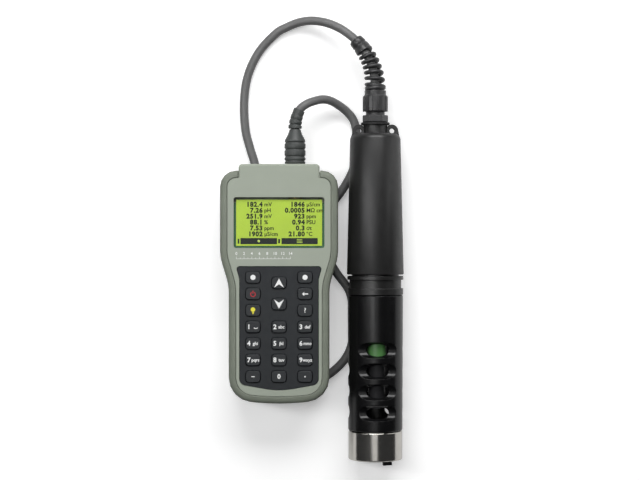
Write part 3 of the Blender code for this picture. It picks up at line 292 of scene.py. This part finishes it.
SCREW = surface("screw_steel", srgb(180, 180, 178), 0.32, metallic=1.0, variation=0.04,
                soften=0.2 * MM)
BRASS = surface("socket_metal", srgb(190, 165, 110), 0.3, metallic=1.0, variation=0.05)
BOARD = surface("circuit_board", srgb(20, 105, 60), 0.4, variation=0.08)
CELL = surface("cell_sleeve", srgb(70, 74, 82), 0.3, variation=0.05, coat=0.3)
SENSOR_DARK = surface("sensor_black", srgb(38, 38, 40), 0.35, variation=0.06)
WHITE_INK = print_ink("white_print", srgb(238, 239, 238))
RED_INK = print_ink("red_print", srgb(196, 36, 48))
YELLOW_INK = print_ink("yellow_print", srgb(232, 222, 62))
LCD_INK = print_ink("lcd_segments", srgb(18, 28, 8), 0.05)
BAR_INK = print_ink("lcd_bars", srgb(12, 15, 22), 0.05)


def lcd_material():
    """Back-lit display: a lime field with slow random changes of tone and a weak glow."""
    made = surface("lcd_glass", srgb(172, 202, 38), 0.55, grain=0.3 * MM, bump=0.02,
                   mottle=16 * MM, variation=0.05)
    shader = made.node_tree.nodes["Principled BSDF"]
    shader.inputs["Emission Color"].default_value = (*srgb(170, 205, 45), 1)
    shader.inputs["Emission Strength"].default_value = 0.06
    return made


def window_material():
    made = surface("clear_window", (0.55, 0.62, 0.50), 0.22, grain=2 * MM, bump=0.01,
                   mottle=20 * MM, variation=0.01, specular=0.15)
    made.node_tree.nodes["Principled BSDF"].inputs["Alpha"].default_value = 0.03
    return made


def sensor_material(change_y):
    """Green body above change_y and a dark guard below it."""
    made = surface("sensor_green", srgb(72, 120, 64), 0.4, variation=0.06)
    tree = made.node_tree
    shader = tree.nodes["Principled BSDF"]
    tint = shader.inputs["Base Color"].links[0].from_node
    coordinates = next(n for n in tree.nodes if n.bl_idname == "ShaderNodeTexCoord")
    split = tree.nodes.new("ShaderNodeSeparateXYZ")
    link(tree, coordinates, "Object", split, "Vector")
    step = tree.nodes.new("ShaderNodeMapRange")
    step.inputs["From Min"].default_value = change_y - 0.05 * MM
    step.inputs["From Max"].default_value = change_y + 0.05 * MM
    link(tree, split, "Y", step, "Value")
    mix = tree.nodes.new("ShaderNodeMix")
    mix.data_type = "RGBA"
    mix.inputs["A"].default_value = (*srgb(36, 36, 38), 1)
    link(tree, step, "Result", mix, "Factor")
    link(tree, tint, "Result", mix, "B")
    link(tree, mix, "Result", shader, "Base Color")
    return made


# --- pieces ----------------------------------------------------------------------------------

def add_piece(name, data, look, body):
    piece = bpy.data.objects.new(name, data)
    bpy.context.scene.collection.objects.link(piece)
    data.materials.clear()
    data.materials.append(look)
    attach(piece, body)
    return piece


def mesh_from(name, shape, smooth_angle=40):
    mesh = bpy.data.meshes.new(name)
    bmesh.ops.recalc_face_normals(shape, faces=shape.faces)
    shape.to_mesh(mesh)
    shape.free()
    mesh.shade_smooth()
    mesh.set_sharp_from_angle(angle=math.radians(smooth_angle))
    return mesh


def body_of(node):
    return frame["nodes"][node]["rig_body"]


def refined(node, look, edge, segments=2):
    """A copy of a CAD node with its facets joined, its edges rounded and its curves smooth."""
    shape = bmesh.new()
    shape.from_mesh(frame["nodes"][node].data)
    bmesh.ops.remove_doubles(shape, verts=shape.verts, dist=0.002 * MM)
    bmesh.ops.dissolve_limit(shape, angle_limit=math.radians(0.4), verts=shape.verts,
                             edges=shape.edges)
    mesh = mesh_from(node + "_shell", shape)
    piece = add_piece(node + "_shell", mesh, look, body_of(node))
    if edge:
        bevel = piece.modifiers.new("soft_edges", "BEVEL")
        bevel.width = edge
        bevel.segments = segments
        bevel.limit_method = "ANGLE"
        bevel.angle_limit = math.radians(38)
        bevel.harden_normals = True
    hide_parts(node)
    return piece


def around_probe(radius, degrees, y):
    """A point about the probe's axis; 0 degrees is up, turning towards +X."""
    a = math.radians(degrees)
    return PROBE_X + radius * math.sin(a), y, PROBE_Z + radius * math.cos(a)


def fine_shield():
    """The shield in smooth curves: a turned tube, three rows of cross slots and two lugs."""
    top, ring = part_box("shield")[1].y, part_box("weight_ring")
    shoulder, foot = ring[1].y + GAP, ring[0].y - GAP
    profile = [
        (SHIELD_BORE_R, top), (SHIELD_TOP_R - 0.6 * MM, top), (SHIELD_TOP_R, top - 0.7 * MM),
        (SHIELD_FOOT_R, shoulder + 0.7 * MM), (SHIELD_FOOT_R - 0.6 * MM, shoulder),
        (SKIRT_R, shoulder), (SKIRT_R, foot), (SHIELD_BORE_R, foot),
    ]
    shape = bmesh.new()
    skin(shape, [[around_probe(radius, 360 * i / TUBE_SIDES, y) for i in range(TUBE_SIDES)]
                 for radius, y in profile], looped=True)
    tube = add_piece("shield_shell", mesh_from("shield_tube", shape), SHIELD,
                     body_of("shield"))
    shape = bmesh.new()
    for row in range(SLOT_ROWS):
        a = PROBE_ROLL + 360 / SLOT_ROWS * row
        along = Vector((math.cos(math.radians(a)), 0, -math.sin(math.radians(a))))
        out = Vector((math.sin(math.radians(a)), 0, math.cos(math.radians(a))))
        for i in range(SLOTS_IN_ROW):
            middle = Vector(around_probe(SLOT_AXIS_R, a, top - SLOT_FROM_TOP - i * SLOT_PITCH))
            skin(shape, [[middle + along * end + (out * math.cos(t) + Vector((0, math.sin(t), 0)))
                          * SLOT_R for t in (2 * math.pi * k / SLOT_SIDES for k in range(SLOT_SIDES))]
                         for end in (-CUTTER_REACH, CUTTER_REACH)], looped=False)
    cutter = bpy.data.objects.new("slot_cutters", mesh_from("slot_cutters", shape))
    bpy.context.scene.collection.objects.link(cutter)
    cut = tube.modifiers.new("slots", "BOOLEAN")
    cut.solver = "EXACT"
    cut.object = cutter
    bpy.context.view_layer.update()
    graph = bpy.context.evaluated_depsgraph_get()
    slotted = bpy.data.meshes.new_from_object(tube.evaluated_get(graph))
    tube.modifiers.clear()
    bpy.data.objects.remove(cutter)
    whole = bmesh.new()
    whole.from_mesh(slotted)
    for a in (LUG_ANGLE, LUG_ANGLE + 180):
        turn = Matrix.Rotation(math.radians(a), 3, "Y")
        sides = [turn @ Vector((x, 0, z)) for x, z in (
            (-LUG_WIDTH / 2, SHIELD_BORE_R + GAP), (LUG_WIDTH / 2, SHIELD_BORE_R + GAP),
            (LUG_WIDTH / 2, LUG_TOP_R), (-LUG_WIDTH / 2, LUG_TOP_R))]
        skin(whole, [[Vector((PROBE_X, y, PROBE_Z)) + side for side in sides]
                     for y in (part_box("shield")[0].y, foot - 0.01 * MM)], looped=False)
    tube.data = mesh_from("shield_shell", whole)
    tube.data.materials.clear()
    tube.data.materials.append(SHIELD)
    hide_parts("shield")


def smooth_line(points, share):
    """A point on the smooth curve through the given points; share runs 0 to 1 over them."""
    last = len(points) - 1
    i = min(int(share * last), last - 1)
    t = share * last - i
    before = points[i - 1] if i else 2 * points[0] - points[1]
    after = points[i + 2] if i + 2 <= last else 2 * points[last] - points[last - 1]
    start, end = points[i], points[i + 1]
    return 0.5 * (2 * start + (end - before) * t
                  + (2 * before - 5 * start + 4 * end - after) * t ** 2
                  + (3 * start - before - 3 * end + after) * t ** 3)


def make_camera():
    data = bpy.data.cameras.new("camera")
    data.lens = CAMERA_LENS
    camera = bpy.data.objects.new("camera", data)
    camera.location = CAMERA_AT
    bpy.context.scene.collection.objects.link(camera)
    bpy.context.scene.camera = camera


def make_cord():
    curve = bpy.data.curves.new("cable", "CURVE")
    curve.dimensions = "3D"
    curve.bevel_depth = CORD_R
    curve.bevel_resolution = 6
    curve.use_fill_caps = True
    spline = curve.splines.new("POLY")
    spline.points.add(CORD_POINTS - 1)
    for i, point in enumerate(spline.points):
        point.co = (*smooth_line(CORD_ROUTE[1:], i / (CORD_POINTS - 1)), 1.0)
    spline.use_smooth = True
    cable = add_piece("cable", curve, CORD, BODY)
    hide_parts("cord")


def relief_frame(share):
    """Place, forward and cross directions on the bend of the spiral relief."""
    bend = CORD_ROUTE[2:len(RELIEF_ROUTE)]
    at = smooth_line(bend, share)
    ahead = smooth_line(bend, min(share + 0.01, 1.0)) - smooth_line(bend, max(share - 0.01, 0))
    ahead.normalize()
    across = ahead.cross(Vector((0, 0, 1))).normalized()
    return at, ahead, across, across.cross(ahead)


def skin(shape, rings, looped):
    made = [[shape.verts.new(point) for point in ring] for ring in rings]
    following = made[1:] + made[:1] if looped else made[1:]
    for lower, upper in zip(made, following):
        for i in range(len(lower)):
            j = (i + 1) % len(lower)
            shape.faces.new((lower[i], lower[j], upper[j], upper[i]))
    if not looped:
        shape.faces.new(made[0])
        shape.faces.new(made[-1])


def make_spiral():
    shape = bmesh.new()
    steps = round(SPIRAL_TURNS * STEPS_A_TURN)
    rings = []
    for i in range(steps + 1):
        share = i / steps
        at, ahead, across, upward = relief_frame(
            SPIRAL_START + (SPIRAL_STOP - SPIRAL_START) * share)
        radius = SPIRAL_BASE_R + (SPIRAL_END_R - SPIRAL_BASE_R) * share
        turn = 2 * math.pi * SPIRAL_TURNS * share
        spoke = across * math.cos(turn) + upward * math.sin(turn)
        middle = at + spoke * radius
        rings.append([
            middle + (spoke * math.cos(a) + ahead * math.sin(a)) * SPIRAL_WIRE_R
            for a in (2 * math.pi * k / WIRE_SIDES for k in range(WIRE_SIDES))
        ])
    skin(shape, rings, looped=False)
    bore = CORD_R + BORE_GAP
    sleeves = (
        (0.78, 1.0, ((0.0, COLLAR_BASE_R - 0.5 * MM), (0.04, COLLAR_BASE_R),
                     (0.42, COLLAR_BASE_R - 0.35 * MM), (0.46, COLLAR_BASE_R - 0.9 * MM),
                     (0.54, COLLAR_BASE_R - 0.9 * MM), (0.58, COLLAR_BASE_R - 0.5 * MM),
                     (0.95, COLLAR_TIP_R), (1.0, COLLAR_TIP_R - 0.5 * MM))),
        (0.01, 0.07, ((0.0, RELIEF_FOOT_R - 0.3 * MM), (0.2, RELIEF_FOOT_R),
                      (0.8, RELIEF_FOOT_R), (1.0, RELIEF_FOOT_R - 0.4 * MM))),
    )
    for low, high, profile in sleeves:
        walls = list(profile) + [(1.0, bore), (0.66, bore), (0.33, bore), (0.0, bore)]
        rings = []
        for share, radius in walls:
            at, _, across, upward = relief_frame(low + (high - low) * share)
            rings.append([at + (across * math.cos(a) + upward * math.sin(a)) * radius
                          for a in (2 * math.pi * k / SLEEVE_SIDES for k in range(SLEEVE_SIDES))])
        skin(shape, rings, looped=True)
    piece = add_piece("relief_spiral", mesh_from("relief_spiral", shape, 50), GLAND, BODY)
    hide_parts("spiral_relief")
    return piece


# --- print and legends -----------------------------------------------------------------------

def text_piece(name, words, size, at, look, body, align="CENTER", bold=0.0,
               spacing=1.0):
    curve = bpy.data.curves.new(name, "FONT")
    curve.body = words
    curve.size = size
    curve.align_x = align
    curve.align_y = "CENTER"
    curve.extrude = INK_HEIGHT / 2
    curve.offset = bold
    curve.space_character = spacing
    curve.resolution_u = 3
    holder = bpy.data.objects.new(name + "_curve", curve)
    bpy.context.scene.collection.objects.link(holder)
    bpy.context.view_layer.update()
    mesh = bpy.data.meshes.new_from_object(holder)
    mesh.name = name
    bpy.data.objects.remove(holder)
    mesh.transform(Matrix.Translation(at))
    return add_piece(name, mesh, look, body)


def flat_shape(name, outlines, z, look, body):
    """Raised print from closed outlines of (x, y) points."""
    shape = bmesh.new()
    for outline in outlines:
        low = [shape.verts.new((x, y, z - INK_HEIGHT / 2)) for x, y in outline]
        high = [shape.verts.new((x, y, z + INK_HEIGHT / 2)) for x, y in outline]
        shape.faces.new(low)
        shape.faces.new(high)
        for i in range(len(outline)):
            j = (i + 1) % len(outline)
            shape.faces.new((low[i], low[j], high[j], high[i]))
    return add_piece(name, mesh_from(name, shape, 20), look, body)


def disc(x, y, radius, count=24):
    return [(x + radius * math.cos(2 * math.pi * i / count),
             y + radius * math.sin(2 * math.pi * i / count)) for i in range(count)]


def bar(x0, y0, x1, y1):
    return [(x0, y0), (x1, y0), (x1, y1), (x0, y1)]


def arc_band(x, y, inner, outer, start, end, count=20):
    """A band of a ring from start to end degrees."""
    turns = [math.radians(start + (end - start) * i / count) for i in range(count + 1)]
    return ([(x + outer * math.cos(a), y + outer * math.sin(a)) for a in turns]
            + [(x + inner * math.cos(a), y + inner * math.sin(a)) for a in reversed(turns)])


LETTERS = {"key_2": "abc", "key_3": "def", "key_4": "ghi", "key_5": "jkl", "key_6": "mno",
           "key_7": "pqrs", "key_8": "tuv", "key_9": "wxyz"}


def key_top(node):
    low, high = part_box(node)
    return (low.x + high.x) / 2, (low.y + high.y) / 2, high.z + INK_HEIGHT / 2


def make_legends():
    for digit in range(10):
        node = f"key_{digit}"
        x, y, z = key_top(node)
        shift = -3.2 * MM if digit else 0.0
        text_piece(f"digit_{digit}", str(digit), 5.0 * MM, (x + shift, y, z), WHITE_INK, node,
                   bold=0.00016)
        if node in LETTERS:
            text_piece(f"letters_{digit}", LETTERS[node], 3.5 * MM, (x + 1.9 * MM, y, z),
                       WHITE_INK, node, bold=0.00009)
    x, y, z = key_top("key_1")
    flat_shape("space_mark", [arc_band(x + 2.2 * MM, y + 0.6 * MM, 1.5 * MM, 2.1 * MM, 215, 325)],
               z, WHITE_INK, "key_1")
    for node in ("key_soft_left", "key_soft_right"):
        x, y, z = key_top(node)
        flat_shape(node + "_dot", [disc(x, y, 2.0 * MM)], z, WHITE_INK, node)
    x, y, z = key_top("key_power")
    flat_shape("power_mark", [
        arc_band(x, y - 0.2 * MM, 1.5 * MM, 2.1 * MM, 125, 415, 28),
        bar(x - 0.32 * MM, y + 0.3 * MM, x + 0.32 * MM, y + 2.5 * MM)], z, RED_INK, "key_power")
    x, y, z = key_top("key_light")
    flat_shape("light_mark", [
        disc(x, y + 0.7 * MM, 1.75 * MM), bar(x - 0.75 * MM, y - 2.0 * MM, x + 0.75 * MM,
                                              y - 1.15 * MM),
        bar(x - 0.5 * MM, y - 2.7 * MM, x + 0.5 * MM, y - 2.2 * MM)], z, YELLOW_INK,
        "key_light")
    x, y, z = key_top("key_back")
    flat_shape("back_mark", [
        [(x - 2.4 * MM, y), (x - 0.6 * MM, y + 1.6 * MM), (x - 0.6 * MM, y + 0.45 * MM),
         (x + 2.4 * MM, y + 0.45 * MM), (x + 2.4 * MM, y - 0.45 * MM),
         (x - 0.6 * MM, y - 0.45 * MM), (x - 0.6 * MM, y - 1.6 * MM)]], z, WHITE_INK,
        "key_back")
    x, y, z = key_top("key_help")
    text_piece("help_mark", "?", 5.2 * MM, (x, y, z), WHITE_INK, "key_help", bold=0.00008)
    x, y, z = key_top("key_minus")
    flat_shape("minus_mark", [bar(x - 1.3 * MM, y - 0.3 * MM, x + 1.3 * MM, y + 0.3 * MM)],
               z, WHITE_INK, "key_minus")
    x, y, z = key_top("key_point")
    flat_shape("point_mark", [disc(x, y, 0.6 * MM, 16)], z, WHITE_INK, "key_point")
    for node, up in (("key_up", 1), ("key_down", -1)):
        x, y, z = key_top(node)
        y -= up * 0.2 * MM
        flat_shape(node + "_mark", [
            [(x, y + up * 3.7 * MM), (x + 3.8 * MM, y - up * 3.4 * MM),
             (x, y - up * 0.9 * MM), (x - 3.8 * MM, y - up * 3.4 * MM)]], z, WHITE_INK, node)


READINGS = (                # value and unit, left and right of each row
    ("182.4", "mV", "1846", "µS/cm"),
    ("7.26", "pH", "0.0005", "MΩ cm"),
    ("251.9", "mV", "923", "ppm"),
    ("88.1", "%", "0.94", "PSU"),
    ("7.53", "ppm", "0.3", "σt"),
    ("1902", "µS/cm", "21.80", "°C"),
)


def make_display():
    low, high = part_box("lcd_module")
    top = high.z + INK_HEIGHT / 2
    middle = (low.x + high.x) / 2
    first = high.y - 3.9 * MM
    for row, (left, left_unit, right, right_unit) in enumerate(READINGS):
        y = first - row * LINE_PITCH
        for side, value, unit, x in (("left", left, left_unit, middle - 12.9 * MM),
                                     ("right", right, right_unit, middle + 19.9 * MM)):
            text_piece(f"{side}_value_{row + 1}", value, VALUE_SIZE, (x, y, top), LCD_INK, BODY,
                       "RIGHT", 0.00026, 1.14)
            text_piece(f"{side}_unit_{row + 1}", unit, UNIT_SIZE, (x + 1.3 * MM, y, top),
                       LCD_INK, BODY, "LEFT", 0.0001)
    bars = {"left": (low.x + 3.4 * MM, middle - 1.6 * MM),
            "right": (middle + 1.9 * MM, high.x - 3.4 * MM)}
    y0, y1 = low.y + 1.2 * MM, low.y + 6.0 * MM
    flat_shape("soft_bars", [bar(x0, y0, x1, y1) for x0, x1 in bars.values()], top, BAR_INK,
               BODY)
    flat_shape("side_marks", [
        bar(low.x + 1.2 * MM, y0 + 0.4 * MM, low.x + 2.5 * MM, y1 - 0.6 * MM),
        bar(middle - 0.7 * MM, y0 + 0.7 * MM, middle + 0.7 * MM, y1 - 0.7 * MM)], top, BAR_INK,
        BODY)
    y = (y0 + y1) / 2
    lime = bpy.data.materials["lcd_glass"]
    x0, x1 = bars["left"]
    flat_shape("left_soft_mark", [disc((x0 + x1) / 2, y, 1.0 * MM, 16)],
               top + 0.05 * MM, lime, BODY)
    x0, x1 = bars["right"]
    x = (x0 + x1) / 2
    flat_shape("right_soft_mark", [
        bar(x - 2.2 * MM, y + step * MM - 0.25 * MM, x + 2.2 * MM, y + step * MM + 0.25 * MM)
        for step in (-1.1, 0.0, 1.1)], top + 0.05 * MM, lime, BODY)


def make_scale_print():
    """A plain printed scale on the face, between the display and the keys."""
    window_low, window_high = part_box("display_window")
    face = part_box("rubber_boot")[1].z - 0.3 * MM + INK_HEIGHT / 2
    y = window_low.y - 4.6 * MM
    x = window_low.x + 1.0 * MM
    for i in range(8):
        text_piece(f"scale_number_{i}", str(2 * i), 3.2 * MM, (x + (0.8 + 6.0 * i) * MM, y, face),
                   WHITE_INK, BODY, bold=0.00003)
    ticks = [bar(x + (0.8 + 3.0 * i) * MM - 0.12 * MM, y - 3.9 * MM,
                 x + (0.8 + 3.0 * i) * MM + 0.12 * MM, y - (2.3 if i % 2 == 0 else 3.0) * MM)
             for i in range(15)]
    ticks.append(bar(x + 0.68 * MM, y - 4.15 * MM, x + 42.92 * MM, y - 3.9 * MM))
    flat_shape("scale_ticks", ticks, face, WHITE_INK, BODY)


# --- light and floor -------------------------------------------------------------------------

def aim(light, target):
    direction = Vector(target) - light.location
    light.rotation_euler = direction.to_track_quat("-Z", "Y").to_euler()


def area_light(name, at, size_x, size_y, power, target=(0, 0, 0)):
    data = bpy.data.lights.new(name, "AREA")
    data.shape = "RECTANGLE"
    data.size, data.size_y = size_x, size_y
    data.energy = power
    light = bpy.data.objects.new(name, data)
    bpy.context.scene.collection.objects.link(light)
    light.location = at
    aim(light, target)


def make_world():
    world = bpy.data.worlds.new("studio")
    bpy.context.scene.world = world
    world.use_nodes = True
    tree = world.node_tree
    tree.nodes.clear()
    output = tree.nodes.new("ShaderNodeOutputWorld")
    seen = tree.nodes.new("ShaderNodeBackground")
    seen.inputs["Color"].default_value = (1, 1, 1, 1)
    ambient = tree.nodes.new("ShaderNodeBackground")
    ambient.inputs["Color"].default_value = (0.95, 0.97, 1.0, 1)
    ambient.inputs["Strength"].default_value = 0.04
    path = tree.nodes.new("ShaderNodeLightPath")
    mix = tree.nodes.new("ShaderNodeMixShader")
    link(tree, path, "Is Camera Ray", mix, "Fac")
    tree.links.new(ambient.outputs[0], mix.inputs[1])
    tree.links.new(seen.outputs[0], mix.inputs[2])
    tree.links.new(mix.outputs[0], output.inputs["Surface"])


def make_floor():
    mesh = bpy.data.meshes.new("floor")
    half = FLOOR_SIZE / 2
    level = -0.2 * MM
    mesh.from_pydata([(-half, -half, level), (half, -half, level), (half, half, level),
                      (-half, half, level)], [], [(0, 1, 2, 3)])
    floor = bpy.data.objects.new("floor", mesh)
    bpy.context.scene.collection.objects.link(floor)
    made = bpy.data.materials.new("floor_white")
    made.use_nodes = True
    tree = made.node_tree
    shader = tree.nodes["Principled BSDF"]
    shader.inputs["Base Color"].default_value = (FLOOR_WHITE, FLOOR_WHITE, FLOOR_WHITE, 1)
    shader.inputs["Roughness"].default_value = 0.9
    shader.inputs["Specular IOR Level"].default_value = 0.1
    glow = tree.nodes.new("ShaderNodeEmission")
    path = tree.nodes.new("ShaderNodeLightPath")
    scale = tree.nodes.new("ShaderNodeMath")
    scale.operation = "MULTIPLY"
    scale.inputs[1].default_value = FLOOR_LIFT
    link(tree, path, "Is Camera Ray", scale, 0)
    link(tree, scale, "Value", glow, "Strength")
    dark = tree.nodes.new("ShaderNodeBsdfDiffuse")
    dark.inputs["Color"].default_value = (FLOOR_BOUNCE, FLOOR_BOUNCE, FLOOR_BOUNCE, 1)
    seen = tree.nodes.new("ShaderNodeMixShader")
    link(tree, path, "Is Diffuse Ray", seen, "Fac")
    tree.links.new(shader.outputs[0], seen.inputs[1])
    tree.links.new(dark.outputs[0], seen.inputs[2])
    both = tree.nodes.new("ShaderNodeAddShader")
    tree.links.new(seen.outputs[0], both.inputs[0])
    tree.links.new(glow.outputs[0], both.inputs[1])
    tree.links.new(both.outputs[0], tree.nodes["Material Output"].inputs["Surface"])
    mesh.materials.append(made)


def make_studio():
    bpy.context.scene.view_settings.view_transform = "Standard"
    make_world()
    make_floor()
    area_light("strip_left", (-0.62, 0.15, 1.15), 0.18, 1.2, 6.4)
    area_light("top_soft", (0.10, 0.95, 0.85), 1.2, 0.6, 15.0)
    area_light("overhead", (0.05, 0.10, 1.75), 0.8, 1.3, 2.3)
    area_light("right_low", (1.25, 0.35, 0.40), 0.35, 1.0, 2.2)


# --- putting the looks on the frame ----------------------------------------------------------

make_camera()
make_studio()

shells = {
    "rubber_boot": (BOOT, 0.5 * MM), "front_case": (CASE, 0.35 * MM),
    "rear_case": (CASE, 0.3 * MM), "battery_cover": (CASE, 0.3 * MM),
    "keypad_panel": (PANEL, 0.12 * MM), "plug_body": (PLUG, 0.25 * MM),
    "plug_relief": (PLUG, 0.2 * MM), "gland_nut": (GLAND, 0.3 * MM),
    "gland_body": (GLAND, 0.25 * MM), "gland_washer": (SEAL, 0.3 * MM),
    "probe_housing": (HOUSING, 0.4 * MM), "sensor_carrier": (CARRIER, 0.35 * MM),
    "weight_ring": (STEEL, 0.3 * MM),
    "sensor_ec": (SENSOR_DARK, 0.5 * MM), "sensor_oxygen": (SENSOR_DARK, 0.5 * MM),
    "temperature_pin": (SCREW, 0.0), "meter_socket": (BRASS, 0.2 * MM),
}
made_shells = {node: refined(node, look, edge) for node, (look, edge) in shells.items()}
shield_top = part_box("shield")[1].y
refined("sensor_ph", sensor_material(shield_top - 48.0 * MM), 0.4 * MM)
for node in frame["nodes"]:
    if node.startswith("key_"):
        refined(node, KEY, 0.45 * MM, 3)
    elif node.startswith("cover_screw"):
        refined(node, SCREW, 0.2 * MM)

plain = {"lcd_module": lcd_material(), "display_window": window_material(),
         "main_board": BOARD, "probe_board": BOARD, "case_seal": SEAL, "cover_seal": SEAL,
         "housing_seal": SEAL, "gland_seal": SEAL}
plain.update({f"battery_{i}": CELL for i in range(1, 5)})
for node, look in plain.items():
    mesh = frame["nodes"][node].data
    mesh.materials.clear()
    mesh.materials.append(look)

fine_shield()
spiral = make_spiral()
make_cord()
make_legends()
make_display()
make_scale_print()
